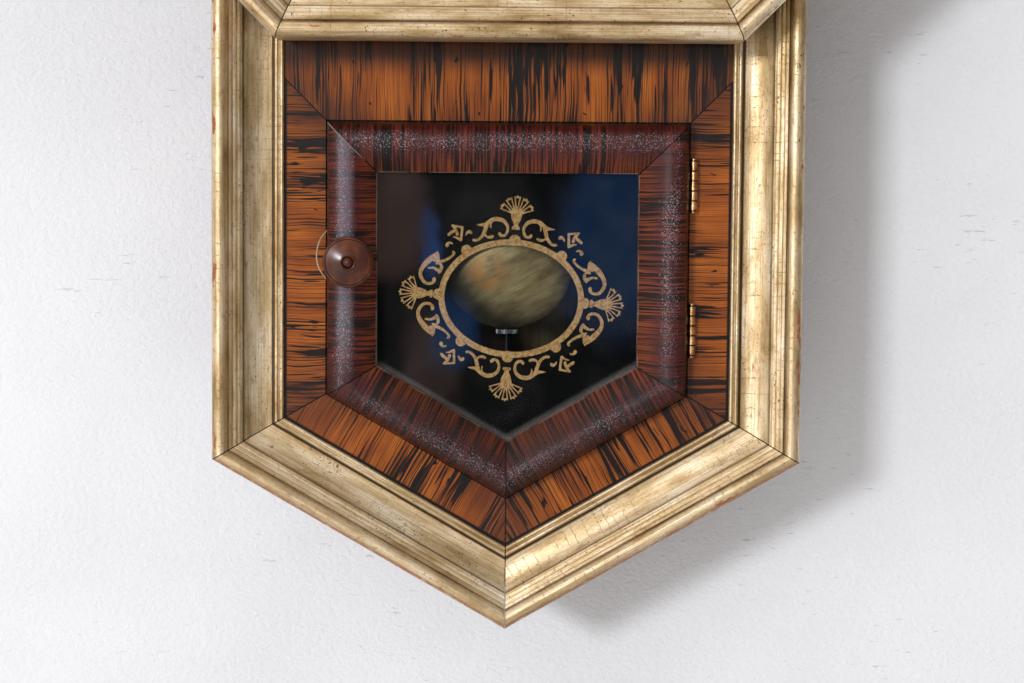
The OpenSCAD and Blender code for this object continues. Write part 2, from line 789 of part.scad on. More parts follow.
module movement_back_plate() {
    color("gold") at_dial() difference() {
        slab(plates_from, inside) plate_drawing();
        bar_at_each(plate_screw_places, plate_screw_r + running, plates_from - 1, inside + 1);
    }
}

module movement_front_plate() {
    color("gold") at_dial() {
        difference() {
            slab(front_plate_from, front_plate_to) plate_drawing();
            bar_at_each(pillar_places, 1.6, front_plate_from - 1, front_plate_to + 1);
            bar(escape, 3, front_plate_from - 1, front_plate_to + 1);
        }
        // Studs of the verge and the minute wheel
        bar(verge, 1.2, front_plate_to - eps, escape_plane + 4.3);
        bar(minute_stud, 1.2, front_plate_to - eps, minute_plane + 6.6);
        // Slotted post that the pendulum hangs from
        difference() {
            bar(post, 2, front_plate_to - eps, pendulum_forward + 2.4);
            translate([-0.75, -pendulum_forward - 3, post[1] - 3]) cube([1.5, 5.6, 4]);
        }
    }
}

module movement_pillars() {
    color("gold") at_dial() {
        for (p = concat(pillar_places, [spring_post, [-spring_post[0], spring_post[1]]]))
            bar(p, post_r, inside, front_plate_from);
        bar_at_each(pillar_places, 1.55, front_plate_from - 1, front_plate_to + 2.6);
        for (p = pillar_places) bar(p, 2.9, front_plate_to, front_plate_to + 1.8);
    }
}

module movement_screws() {
    color("gray") at_dial() for (p = plate_screw_places) {
        bar(p, 3.2, inside, inside + 1.8);
        bar(p, plate_screw_r - 0.35, back_t - 4.5, inside + 1);
    }
}

module escape_cock() {
    reach = cock_half_w;
    color("gold") at_dial() difference() {
        union() {
            slab(cock_plane, cock_plane + plate_t) translate(escape)
                translate([-reach - 3, -3]) square([2 * reach + 6, 6]);
            for (side = [-1, 1]) slab(front_plate_to, cock_plane + plate_t)
                translate([side * (reach + 1.6) - 1.4, escape[1] - 3]) square([2.8, 6]);
        }
        bar(escape, arbor_r + running, cock_plane - 1, cock_plane + plate_t + 1);
    }
}

// Trains
great_phase = 0;
module main_wheel(p, teeth_count, phase) {
    wheel(p, teeth_count, great_module, phase, 4, winding_r + running, great_plane, great_t, 4, 17);
    // Pivot of the click
    bar(p + click_pivot, 1, click_plane, great_plane + 0.5);
}

module time_main_wheel() { color("gold") at_dial() main_wheel(time_main, great_teeth, great_phase); }

module strike_main_wheel() {
    color("gold") at_dial() main_wheel(strike_main, strike_great_teeth, great_phase);
}

module winding_arbor(p) {
    color("silver") at_dial() {
        bar(p, winding_r, pivot_from, pivot_to + 1);
        translate([p[0], 0, p[1]]) slab(pivot_to, winding_to) square(4, center = true);
        translate([p[0], 0, p[1]]) slab(click_plane, click_plane + 1.6)
            polygon([for (k = [0:15], q = [[0, ratchet_r], [0.85, ratchet_r - 1.2]])
                q[1] * [cos((k + q[0]) * 22.5), sin((k + q[0]) * 22.5)]]);
    }
}

module time_winding_arbor() { winding_arbor(time_main); }

module strike_winding_arbor() { winding_arbor(strike_main); }

// Click: its nose lies just outside the ratchet's tips
module click_lever(p) {
    nose = (ratchet_r + 0.6) * [cos(64), sin(64)];
    color("silver") at_dial() translate([p[0], 0, p[1]]) difference() {
        slab(click_plane, click_plane + 1.6) union() {
            translate(click_pivot) circle(r = 2.2);
            polygon([click_pivot + [-2, 0.6], click_pivot + [0.5, 2.1],
                nose + [0.9, 0.7], nose, nose + [0.9, -0.7]]);
        }
        bar(click_pivot, 1 + running, 0, inside + 10);
    }
}

module time_click() { click_lever(time_main); }

module strike_click() { click_lever(strike_main); }

// One half turn of a flat spiral
module half_turn(r, t, side) {
    intersection() {
        difference() {
            circle(r = r + t / 2);
            circle(r = r - t / 2);
        }
        translate([-r - t, side > 0 ? 0 : -r - t]) square([2 * (r + t), r + t]);
    }
}

// A flat spiral out of half turns, with every second centre moved so that each half joins the last
module spring_drawing() {
    for (k = [0:2 * spring_turns - 1])
        translate([k % 2 * spring_pitch / 2, 0])
            half_turn(spring_in_r + k * spring_pitch / 2, spring_t, k % 2 == 0 ? 1 : -1);
    translate([spring_end - spring_t / 2, 0]) square([spring_t, spring_eye[1] - 1]);
    translate(spring_eye) difference() {
        circle(r = post_r + 0.9);
        circle(r = post_r + 0.3);
    }
}

module time_mainspring() {
    color("slategray") at_dial() translate([time_main[0], 0, time_main[1]])
        slab(spring_plane, spring_plane + spring_w) spring_drawing();
}

module strike_mainspring() {
    color("slategray") at_dial() translate([strike_main[0], 0, strike_main[1]])
        slab(spring_plane, spring_plane + spring_w) mirror([1, 0]) spring_drawing();
}

// An arbor with its wheel, and the lantern pinion that drives it
module arbor(p, to = pivot_to) {
    bar(p, arbor_r, pivot_from, to);
}

module centre_wheel() {
    color("gold") at_dial() {
        arbor(centre, centre_arbor_to);
        lantern(centre, centre_leaves, great_module,
            mesh_phase(time_main, centre, great_teeth, centre_leaves, great_phase),
            great_plane - 1.2, great_plane + great_t + 1.2);
        wheel(centre, wheel_teeth, centre_module, 0, 5, arbor_r - 0.2, centre_plane, wheel_t);
    }
}

module third_wheel() {
    color("gold") at_dial() {
        arbor(third);
        lantern(third, leaves, centre_module, mesh_phase(centre, third, wheel_teeth, leaves, 0),
            centre_plane - 1.2, centre_plane + wheel_t + 1.2);
        wheel(third, wheel_teeth, third_module, 0, 5, arbor_r - 0.2, third_plane, wheel_t);
    }
}

module escape_wheel() {
    r = escape_r;
    step = 360 / escape_teeth;
    color("gold") at_dial() {
        arbor(escape, cock_plane + plate_t + 0.2);
        lantern(escape, leaves, third_module, mesh_phase(third, escape, wheel_teeth, leaves, 0),
            third_plane - 1.2, third_plane + wheel_t + 1.2);
        translate([escape[0], 0, escape[1]]) slab(escape_plane, escape_plane + 1.2) difference() {
            polygon([for (k = [0:escape_teeth - 1], q = [[0, r - 2.6], [0.62, r], [0.8, r], [0.86, r - 2.6]])
                q[1] * [cos((k + q[0]) * step), sin((k + q[0]) * step)]]);
            difference() {
                circle(r = r - 4.6);
                circle(r = 3.4);
                for (k = [0:3]) rotate(k * 90 + 45) translate([0, -0.9]) square([r, 1.8]);
            }
        }
    }
}

module strike_second_wheel() {
    color("gold") at_dial() {
        arbor(second);
        lantern(second, second_leaves, great_module,
            mesh_phase(strike_main, second, strike_great_teeth, second_leaves, great_phase),
            great_plane - 1.2, great_plane + great_t + 1.2);
        wheel(second, second_teeth, second_module, 0, 5, arbor_r - 0.2, second_plane, wheel_t);
        // Pins that lift the hammer's tail
        for (k = [0:7])
            bar(disc_point(second, second_teeth * second_module / 2 - 1.9, k * 45), 0.6,
                second_plane - 3, second_plane + 0.5);
    }
}

module strike_third_wheel() {
    color("gold") at_dial() {
        arbor(strike_third);
        lantern(strike_third, leaves, second_module,
            mesh_phase(second, strike_third, second_teeth, leaves, 0),
            second_plane - 1.2, second_plane + wheel_t + 1.2);
        wheel(strike_third, strike_third_teeth, strike_third_module, 0, 4, arbor_r - 0.2,
            strike_third_plane, wheel_t, 2.4, 3.2);
    }
}

module strike_fly() {
    color("gold") at_dial() {
        arbor(fly);
        lantern(fly, fly_leaves, strike_third_module,
            mesh_phase(strike_third, fly, strike_third_teeth, fly_leaves, 0),
            strike_third_plane - 0.8, strike_third_plane + wheel_t + 0.8);
        translate([fly[0], 0, fly[1]]) slab(spring_plane, spring_plane + spring_w)
            rotate(30) square([20, 0.8], center = true);
    }
}

// Notched disc that counts the blows of each hour, on the face of the strike's main wheel
module count_wheel() {
    color("gold") at_dial() translate([strike_main[0], 0, strike_main[1]]) difference() {
        union() {
            slab(count_plane, count_plane + 1) circle(r = count_r);
            slab(great_plane + great_t, count_plane + 1) circle(r = 6);
        }
        // A notch after 1, 2, 3 ... 12 blows, out of 78 in twelve hours
        for (h = [1:12]) rotate([0, -h * (h + 1) / 2 * 360 / 78, 0])
            translate([count_r - 1.6, -count_plane - 2, -0.7]) cube([3, 3, 1.4]);
        bar(centre, winding_r + running, 0, count_plane + 3);
        for (k = [0:3]) bar(disc_point(centre, 13, 45 + k * 90), 4, 0, count_plane + 3);
    }
}

module count_lever() {
    nose = disc_point(strike_main, count_r + 0.6, 100);
    color("silver") at_dial() {
        arbor(lever_pivot);
        slab(count_plane, count_plane + 1) {
            translate(lever_pivot) circle(r = 2.4);
            polygon([lever_pivot + [-1.2, -1.2], lever_pivot + [1.2, 1.2],
                     nose + [0.9, 2.2], nose + [0.5, 0], nose + [-0.5, 0], nose + [-0.9, 2]]);
        }
    }
}

module strike_hammer() {
    head_x = -(gong_start_r + (gong_turns - 0.5) * gong_pitch - gong_pitch / 2) - gong_wire_r - hammer_gap;
    color("silver") at_dial() {
        arbor(hammer_pivot);
        bar(hammer_pivot, 2.4, gong_forward - 1.2, gong_forward + 1.2);
        wire([hammer_pivot[0], gong_forward, hammer_pivot[1] - 1],
             [head_x - hammer_head_l / 2, gong_forward, gong_z], 0.9);
        wire([hammer_pivot[0], gong_forward, hammer_pivot[1] + 1],
             [hammer_pivot[0] + 6, gong_forward, hammer_pivot[1] + 11], 0.8);
        cross_bar(head_x - hammer_head_l, gong_forward, gong_z, hammer_head_r, hammer_head_l);
    }
}

// Round wire bent into a flat spiral, with one end let into its block
module coil_gong() {
    color("slategray") at_dial() translate([0, -gong_forward, gong_z]) rotate([90, 0, 0])
        for (k = [0:2 * gong_turns - 1])
            translate([k % 2 * gong_pitch / 2, 0, 0]) rotate(k % 2 * 180)
                rotate_extrude(angle = 180)
                    translate([gong_start_r + k * gong_pitch / 2, 0]) circle(r = gong_wire_r, $fn = 32);
}

module gong_block() {
    color("dimgray") at_dial() {
        slab(back_t, gong_forward + gong_wire_r + 1.4) translate([-8, gong_z - 6])
            square([gong_start_r + 9.5, 6]);
        bar(gong_screw, 1.55, 0.5, back_t + 1);
    }
}

module cannon_pinion() {
    m = 2 * motion_centres / (cannon_teeth + minute_teeth);
    color("gold") at_dial() difference() {
        union() {
            slab(cannon_plane, cannon_plane + 3)
                polygon(teeth(cannon_teeth, cannon_teeth * m / 2 - 1.1 * m, cannon_teeth * m / 2 + 0.7 * m,
                    0.46, 0.16, 0));
            bar(centre, pipe_r, cannon_plane, minute_hand_plane + hand_t);
        }
        bar(centre, arbor_r + running, 0, minute_hand_plane + 10);
    }
}

module minute_wheel() {
    m = 2 * motion_centres / (cannon_teeth + minute_teeth);
    fine = 2 * motion_centres / (minute_leaves + hour_teeth);
    r = minute_leaves * fine / 2;
    color("gold") at_dial() {
        wheel(minute_stud, minute_teeth, m, mesh_phase(centre, minute_stud, cannon_teeth, minute_teeth, 0),
            4, arbor_r + running, minute_plane, wheel_t);
        translate([minute_stud[0], 0, minute_stud[1]])
            slab(minute_plane + wheel_t - eps, hour_plane + wheel_t + 0.6) difference() {
                polygon(teeth(minute_leaves, r - 1.1 * fine, r + 0.7 * fine, 0.46, 0.16, 0));
                circle(r = arbor_r + running);
            }
    }
}

module hour_wheel() {
    fine = 2 * motion_centres / (minute_leaves + hour_teeth);
    color("gold") at_dial() {
        wheel(centre, hour_teeth, fine, mesh_phase(minute_stud, centre, minute_leaves, hour_teeth, 0),
            4, pipe_r + 0.1, hour_plane, wheel_t, 3, 5);
        difference() {
            bar(centre, hour_pipe_r, hour_plane, hour_hand_plane + hand_t);
            bar(centre, pipe_r + 0.1, 0, hour_hand_plane + 10);
        }
    }
}

// Anchor of bent strip, whose pallets stay just outside the escape wheel's tips, and its crutch wire
module verge_and_crutch() {
    clear_r = escape_r + 1.2;
    hub_to = escape_plane + 4;
    crutch_forward = cock_plane + plate_t + 0.9;
    fork_z = verge[1] - 34;
    prong = 0.4;
    fork_half = rod_r + 0.1 + prong;
    color("silver") at_dial() {
        difference() {
            union() {
                slab(escape_plane, escape_plane + 1.2) for (side = [-1, 1]) {
                    pallet = escape + clear_r * [side * sin(pallet_angle), cos(pallet_angle)];
                    out = 1.4 * [side * sin(pallet_angle), cos(pallet_angle)];
                    polygon([pallet, pallet + out, verge + out, verge + [0, 0.2]]);
                }
                bar(verge, 2.6, escape_plane, hub_to);
            }
            bar(verge, 1.2 + running, 0, hub_to + 5);
        }
        wire([0, hub_to - 1.2, verge[1] - 1.95], [0, crutch_forward, verge[1] - 8], 0.6);
        wire([0, crutch_forward, verge[1] - 7.6], [0, crutch_forward, fork_z], 0.6);
        cross_bar(-fork_half - prong, crutch_forward, fork_z, 0.6, 2 * (fork_half + prong));
        for (side = [-1, 1])
            bar([side * fork_half, fork_z], prong, crutch_forward - 0.4, pendulum_forward + rod_r + 0.6);
    }
}

// Suspension spring with its lower clip, and the wire rod down to the thread below the bob
module pendulum_rod() {
    clip_z = verge[1] - 9;
    color("gold") at_dial() {
        translate([-0.15, -pendulum_forward - 2, clip_z]) cube([0.3, 4, post[1] - 1 - clip_z]);
        translate([-1.2, -pendulum_forward - 2.2, clip_z]) cube([2.4, 4.4, 3]);
        translate([0, -pendulum_forward, rod_end_z]) cylinder(r = rod_r, h = clip_z - rod_end_z + 1);
    }
}

// Lens of two shallow domes on a rim, bored for the rod
module pendulum_bob() {
    dome = bob_t / 2 - 0.5;
    ball = (bob_r * bob_r + dome * dome) / (2 * dome);
    color("goldenrod") at_dial() translate([0, 0, bob_z]) difference() {
        turned() intersection() {
            translate([0, pendulum_forward + bob_t / 2 - ball]) circle(r = ball, $fn = 360);
            translate([0, pendulum_forward - bob_t / 2 + ball]) circle(r = ball, $fn = 360);
            translate([0, pendulum_forward - bob_t]) square([bob_r, 2 * bob_t]);
        }
        translate([0, -pendulum_forward, -2 * bob_r]) cylinder(r = rod_r + 0.08, h = 4 * bob_r);
    }
}

module rating_nut() {
    color("gold") at_dial() translate([0, -pendulum_forward, nut_z]) difference() {
        linear_extrude(nut_h) polygon(teeth(28, nut_r - 0.3, nut_r, 0.7, 0.3, 0));
        translate([0, 0, -1]) cylinder(r = rod_r + 0.05, h = nut_h + 2);
    }
}

back_board();
head_case_boards();
drop_case_boards();
octagon_front();
octagon_gilt_moulding();
drop_front_frame();
drop_gilt_moulding();
hanger_plate();
hanger_screws();
movement_cleats();
dial_plate();
dial_nails();
dial_bezel();
bezel_glass();
bezel_glass_ring();
bezel_hinge_leaf();
hour_hand();
minute_hand();
hand_collet();
door_frame();
door_tablet();
tablet_beads();
door_knob();
latch_tongue();
door_hinge_case_leaves();
door_hinge_door_leaves();
door_hinge_pins();
hinge_case_screws();
hinge_door_screws();
movement_back_plate();
movement_front_plate();
movement_pillars();
movement_screws();
time_main_wheel();
time_winding_arbor();
time_click();
time_mainspring();
strike_main_wheel();
strike_winding_arbor();
strike_click();
strike_mainspring();
centre_wheel();
third_wheel();
escape_wheel();
escape_cock();
verge_and_crutch();
cannon_pinion();
minute_wheel();
hour_wheel();
strike_second_wheel();
strike_third_wheel();
strike_fly();
count_wheel();
count_lever();
strike_hammer();
coil_gong();
gong_block();
pendulum_rod();
pendulum_bob();
rating_nut();
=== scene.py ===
import math

import bmesh
import bpy
from mathutils import Matrix, Vector


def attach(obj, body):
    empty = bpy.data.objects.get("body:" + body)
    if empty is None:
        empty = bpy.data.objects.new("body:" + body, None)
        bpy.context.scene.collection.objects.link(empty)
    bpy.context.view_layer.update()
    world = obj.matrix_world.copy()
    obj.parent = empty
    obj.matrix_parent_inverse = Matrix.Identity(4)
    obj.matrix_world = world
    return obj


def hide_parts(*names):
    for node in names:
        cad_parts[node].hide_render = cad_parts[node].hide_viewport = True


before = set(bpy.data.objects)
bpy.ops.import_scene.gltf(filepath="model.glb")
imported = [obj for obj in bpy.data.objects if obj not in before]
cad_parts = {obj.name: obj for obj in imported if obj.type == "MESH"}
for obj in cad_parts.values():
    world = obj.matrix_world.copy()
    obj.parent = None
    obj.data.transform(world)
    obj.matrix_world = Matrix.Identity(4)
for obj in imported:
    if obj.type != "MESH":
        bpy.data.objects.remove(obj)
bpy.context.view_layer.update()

# Sizes are in millimetres from the dial's centre: x to the right, z up, and f forward of the wall.
# Names that end in _F are distances forward, in _Z heights, in _R radii and in _W widths.
MM = 0.001
DIAL_Z = -150.0
OCTAGON_HALF = 215.0
EDGE_Z = -OCTAGON_HALF
LOW_CORNER_Z = -OCTAGON_HALF - 164.0
DROP_HALF, GILT_W, BOARD_F, PANEL_F = 116.0, 28.0, 70.0, 80.0
DROP_TOP_Z = -170.5
RING_F, RING_TO, OPENING_R = 90.0, 104.0, 150.0
RING_BOARD_W = 67
DOOR_INSET, RAIL_W, DOOR_TOP = 45.0, 19.6, EDGE_Z - 31.0
# The gilt mouldings stand this far forward of the boards; a board reaches this far past the door's outside,
# and its edge there steps back to the shelf
GILT_RISE = 9.7
LIP = 17
SHELF_F = 73.0
KNOB_X, KNOB_Z = -62.0, EDGE_Z - 85.5
GLASS_F, DOOR_BACK = 77.0, 73.01
HINGE_L, HINGE_Z = 19.5, (-270.0, -327.0)
WINDING_HOLES, WINDING_Z = (-28.48, 28.48), -6.05
BOX_HALF, BOX_INSET = 170.0, 12.0
# Half the gap at a mitre
JOINT = 0.05
# Lengths of grain start this far apart, so that no two are alike. The door's left rail lies between two
# places along it
LAY_STEP = 500
LEFT_RAIL = (31150.0, 31449.0)


def place(x, f, z):
    return Vector((x, -f, z + DIAL_Z)) * MM


# Outlines

def direction(a):
    return Vector((math.cos(math.radians(a)), math.sin(math.radians(a))))


def drop_outline(inset, top):
    low = DROP_HALF * 0.5 - LOW_CORNER_Z * math.cos(math.radians(30)) - inset
    return [(0, DROP_HALF - inset), (90, top), (180, DROP_HALF - inset), (240, low), (300, low)]


def even_outline(half):
    return [(45 * k, half) for k in range(8)]


def inset_by(outline, d):
    return [(a, e - d) for a, e in outline]


def corners(outline):
    found = []
    for k in range(len(outline)):
        (a, p), (b, q) = outline[k - 1], outline[k]
        na, nb = direction(a), direction(b)
        det = na.x * nb.y - na.y * nb.x
        found.append(Vector(((p * nb.y - q * na.y) / det, (q * na.x - p * nb.x) / det)))
    return found


def arc(x, y, r, start, end, steps):
    return [(x + r * math.cos(math.radians(start + (end - start) * k / steps)),
             y + r * math.sin(math.radians(start + (end - start) * k / steps))) for k in range(steps + 1)]


# Modelling

def active():
    return bpy.context.view_layer.objects.active


def nothing_selected():
    if active() and active().mode != "OBJECT":
        bpy.ops.object.mode_set(mode="OBJECT")
    bpy.ops.object.select_all(action="DESELECT")


def only(obj):
    nothing_selected()
    obj.select_set(True)
    bpy.context.view_layer.objects.active = obj


def outline_face(name, points):
    """A filled circle whose corners are moved to the points, in its own XY plane."""
    nothing_selected()
    bpy.ops.mesh.primitive_circle_add(vertices=len(points), radius=0.01, fill_type="NGON")
    obj = active()
    obj.name = obj.data.name = name
    bpy.ops.object.mode_set(mode="EDIT")
    bpy.ops.mesh.select_mode(type="VERT")
    mesh = bmesh.from_edit_mesh(obj.data)
    mesh.verts.ensure_lookup_table()
    turn = sum(points[k - 1][0] * points[k][1] - points[k][0] * points[k - 1][1] for k in range(len(points)))
    for v, p in zip(mesh.verts, points if turn > 0 else points[::-1]):
        v.co = Vector((p[0], p[1], 0)) * MM
    bmesh.update_edit_mesh(obj.data)
    bpy.ops.mesh.select_all(action="SELECT")
    return obj


def bisected(point, normal):
    bpy.ops.mesh.select_all(action="SELECT")
    bpy.ops.mesh.bisect(plane_co=point, plane_no=normal, use_fill=True, clear_outer=True)


def outward():
    bpy.ops.mesh.select_all(action="SELECT")
    bpy.ops.mesh.normals_make_consistent(inside=False)


def modified(obj, kind, **settings):
    only(obj)
    modifier = obj.modifiers.new(kind.title(), kind)
    for key, value in settings.items():
        setattr(modifier, key, value)
    bpy.ops.object.modifier_apply(modifier=modifier.name)


def smoothed(obj, angle=32):
    only(obj)
    bpy.ops.object.shade_smooth_by_angle(angle=math.radians(angle))


def settled(obj):
    only(obj)
    bpy.ops.object.transform_apply(location=True, rotation=True, scale=True)


def finished(obj, material, body, slot, *nodes):
    obj.data.materials.clear()
    obj.data.materials.append(material)
    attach(obj, body)
    if nodes:
        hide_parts(*nodes)
    return obj


def keep_lay(obj, places, gaps):
    """Stores where each point lies on its length, and how far from the nearer mitre, in millimetres."""
    for name in ("lay", "ends"):
        if name in obj.data.attributes:
            obj.data.attributes.remove(obj.data.attributes[name])
    obj.data.attributes.new("lay", "FLOAT_VECTOR", "POINT").data.foreach_set("vector", places)
    obj.data.attributes.new("ends", "FLOAT", "POINT").data.foreach_set("value", gaps)


def measured_lay(obj, outline, width, i, seed):
    """Measures the places on a length of a frame: inward, forward and along. A cut adds points without
    places, so a length is measured again after one."""
    outer, inner = corners(outline), corners(inset_by(outline, width))
    a, e = outline[i]
    n, t = direction(a), direction(a + 90)
    j = (i + 1) % len(outline)
    first, last = outer[i] - inner[i], outer[j] - inner[j]
    start_n = Vector((first.dot(t), -first.dot(n))).normalized()
    end_n = Vector((-last.dot(t), last.dot(n))).normalized()
    start, end = Vector((e, outer[i].dot(t))), Vector((e, outer[j].dot(t)))
    places, gaps = [], []
    for v in obj.data.vertices:
        spot = Vector((v.co.x / MM, v.co.z / MM - DIAL_Z))
        here = Vector((spot.dot(n), spot.dot(t)))
        places += [e - here.x, -v.co.y / MM, here.y + seed * LAY_STEP]
        gaps.append(min((start - here).dot(start_n), (end - here).dot(end_n)))
    keep_lay(obj, places, gaps)


def mitred_length(name, profile, outline, width, i, step, wear=0.0, seed=0):
    """One length of a mitred frame. The profile is [distance inward, forward]; the finished mesh keeps
    where each point lies on the length, in millimetres, for the grain: inward, forward and along."""
    outer, inner = corners(outline), corners(inset_by(outline, width))
    a, e = outline[i]
    n, t = direction(a), direction(a + 90)
    j = (i + 1) % len(outline)
    low, high = outer[i].dot(t), outer[j].dot(t)
    first, last = outer[i] - inner[i], outer[j] - inner[j]
    reach_low = min(low, inner[i].dot(t)) - 3
    reach_high = max(high, inner[j].dot(t)) + 3
    obj = outline_face(name, [(e - p[0], -p[1]) for p in profile])
    bpy.ops.transform.translate(value=(0, 0, reach_low * MM))
    steps = max(1, round((reach_high - reach_low) / step))
    for _ in range(steps):
        bpy.ops.mesh.extrude_region_move(
            TRANSFORM_OT_translate={"value": (0, 0, (reach_high - reach_low) / steps * MM)})
    bisected(Vector((e, 0, low + JOINT)) * MM, Vector((first.dot(t), 0, -first.dot(n))).normalized())
    bisected(Vector((e, 0, high - JOINT)) * MM, Vector((-last.dot(t), 0, last.dot(n))).normalized())
    outward()
    bpy.ops.object.mode_set(mode="OBJECT")
    if wear:
        texture = bpy.data.textures.new(name + "_wear", "CLOUDS")
        texture.noise_scale, texture.noise_depth = 0.008, 3
        modified(obj, "DISPLACE", texture=texture, strength=-wear * MM, mid_level=0.0,
                 texture_coords="LOCAL", direction="NORMAL")
    obj.rotation_euler = (0, -math.radians(a), 0)
    obj.location = place(0, 0, 0)
    settled(obj)
    measured_lay(obj, outline, width, i, seed)
    return obj


def turned(name, points, x, z, steps=96):
    """A solid of revolution about an axis that runs forward, from [radius, forward] points."""
    nothing_selected()
    r, f = points[0]
    bpy.ops.mesh.primitive_circle_add(vertices=steps, radius=max(r, 0.01) * MM, fill_type="NGON",
                                      location=place(x, f, z), rotation=(math.radians(90), 0, 0))
    obj = active()
    obj.name = obj.data.name = name
    settled(obj)
    bpy.ops.object.mode_set(mode="EDIT")
    bpy.ops.mesh.select_mode(type="FACE")
    bpy.ops.mesh.select_all(action="SELECT")
    for (r0, f0), (r1, f1) in zip(points, points[1:]):
        bpy.ops.mesh.extrude_region_move(TRANSFORM_OT_translate={"value": (0, -(f1 - f0) * MM, 0)})
        k = max(r1, 0.01) / max(r0, 0.01)
        bpy.ops.transform.resize(value=(k, 1, k), center_override=place(x, f1, z))
    outward()
    bpy.ops.object.mode_set(mode="OBJECT")
    return obj


def flat_cut(name, loops, f0, f1, smooth=False, origin=(0, 0), tilt=0.0):
    """A flat sheet between two distances from the wall, cut to closed loops; a loop in a loop is a hole."""
    curve = bpy.data.curves.new(name, "CURVE")
    curve.dimensions, curve.fill_mode = "2D", "BOTH"
    curve.extrude = abs(f1 - f0) / 2 * MM
    curve.resolution_u = 4
    for loop in loops:
        if smooth:
            spline = curve.splines.new("BEZIER")
            spline.bezier_points.add(len(loop) - 1)
            for p, (x, z) in zip(spline.bezier_points, loop):
                p.co = (x * MM, z * MM, 0)
                p.handle_left_type = p.handle_right_type = "AUTO"
        else:
            spline = curve.splines.new("POLY")
            spline.points.add(len(loop) - 1)
            for p, (x, z) in zip(spline.points, loop):
                p.co = (x * MM, z * MM, 0, 1)
        spline.use_cyclic_u = True
    obj = bpy.data.objects.new(name, curve)
    bpy.context.scene.collection.objects.link(obj)
    only(obj)
    bpy.ops.object.convert(target="MESH")
    obj = active()
    centre = place(origin[0], (f0 + f1) / 2, origin[1])
    obj.matrix_world = (Matrix.Translation(centre) @ Matrix.Rotation(math.radians(tilt), 4, "Y")
                        @ Matrix.Rotation(math.radians(90), 4, "X"))
    settled(obj)
    bpy.ops.object.mode_set(mode="EDIT")
    bpy.ops.mesh.select_all(action="SELECT")
    bpy.ops.mesh.remove_doubles(threshold=0.000002)
    outward()
    bpy.ops.object.mode_set(mode="OBJECT")
    return obj


def joined(name, objs):
    only(objs[0])
    for o in objs:
        o.select_set(True)
    bpy.ops.object.join()
    active().name = active().data.name = name
    return active()


def block(name, x, f, z, bevel=0.0):
    """A box between pairs of limits, with its edges eased."""
    nothing_selected()
    centre = place(sum(x) / 2, sum(f) / 2, sum(z) / 2)
    bpy.ops.mesh.primitive_cube_add(size=1, location=centre)
    obj = active()
    obj.name = obj.data.name = name
    obj.scale = ((x[1] - x[0]) * MM, (f[1] - f[0]) * MM, (z[1] - z[0]) * MM)
    settled(obj)
    if bevel:
        modified(obj, "BEVEL", width=bevel * MM, segments=2)
    return obj


# Materials

# Paint that lies under varnish or glass has no surface of its own to the air, so hardly any gloss
UNDER_VARNISH = 0.06


def linear(code):
    """The linear colour of an sRGB hex value."""
    parts = [int(code[k:k + 2], 16) / 255 for k in (1, 3, 5)]
    return [p / 12.92 if p <= 0.04045 else ((p + 0.055) / 1.055) ** 2.4 for p in parts] + [1.0]


def feed(node, inputs):
    """Gives a node's inputs their constants and links."""
    for key, value in inputs.items():
        if isinstance(value, bpy.types.NodeSocket):
            node.id_data.links.new(value, node.inputs[key])
        else:
            node.inputs[key].default_value = value


def add(tree, kind, inputs=None, give=0, stops=None, **settings):
    """Adds a node with its settings, its inputs and a ramp's stops, and gives one of its outputs."""
    made = tree.nodes.new("ShaderNode" + kind)
    for key, value in settings.items():
        setattr(made, key, value)
    if stops:
        ramp = made.color_ramp.elements
        while len(ramp) < len(stops):
            ramp.new(1.0)
        for element, (at, colour) in zip(ramp, stops):
            element.position = at
            element.color = linear(colour) if isinstance(colour, str) else (colour, colour, colour, 1)
    feed(made, inputs or {})
    return made if give is None else made.outputs[give]


def bare_material(name):
    material = bpy.data.materials.new(name)
    material.use_nodes = True
    tree = material.node_tree
    tree.nodes.clear()
    return material, tree, add(tree, "OutputMaterial", give=None)


def new_material(name):
    material, tree, output = bare_material(name)
    shader = add(tree, "BsdfPrincipled", give=None)
    feed(output, {0: shader.outputs[0]})
    return material, tree, shader


def object_mm(tree):
    """Places on the object in millimetres."""
    return add(tree, "VectorMath", {0: add(tree, "TexCoord", give="Object"), 3: 1000.0}, operation="SCALE")


def laid(tree):
    """Places on a length: inward, forward and along together, the distance from the nearer mitre, and
    each of the three alone."""
    lay = add(tree, "Attribute", give="Vector", attribute_name="lay")
    ends = add(tree, "Attribute", give="Fac", attribute_name="ends")
    return lay, ends, *add(tree, "SeparateXYZ", {0: lay}, None).outputs


def pattern(tree, source, cells, detail=3.0, rough=0.55):
    """A cloudy pattern whose cells have these sizes in millimetres."""
    x, y, z = cells if isinstance(cells, tuple) else (cells,) * 3
    scaled = add(tree, "VectorMath", {0: source, 1: (1 / x, 1 / y, 1 / z)}, operation="MULTIPLY")
    return add(tree, "TexNoise", {"Vector": scaled, "Scale": 1, "Detail": detail, "Roughness": rough}, "Fac")


def where(tree, *steps):
    """1 where each value has gone from its start past its end, 0 where one is short of its start."""
    mask = None
    for value, start, end in steps:
        step = add(tree, "MapRange", {"Value": value, "From Min": start, "From Max": end},
                   interpolation_type="SMOOTHSTEP")
        mask = step if mask is None else add(tree, "Math", {0: mask, 1: step}, operation="MULTIPLY")
    return mask


def tinted(tree, colour, mask, share, code):
    """Covers a colour with another to this share where the mask is 1."""
    if share != 1:
        mask = add(tree, "Math", {0: mask, 1: share}, operation="MULTIPLY")
    return add(tree, "Mix", {0: mask, 6: colour, 7: linear(code)}, 2, data_type="RGBA")


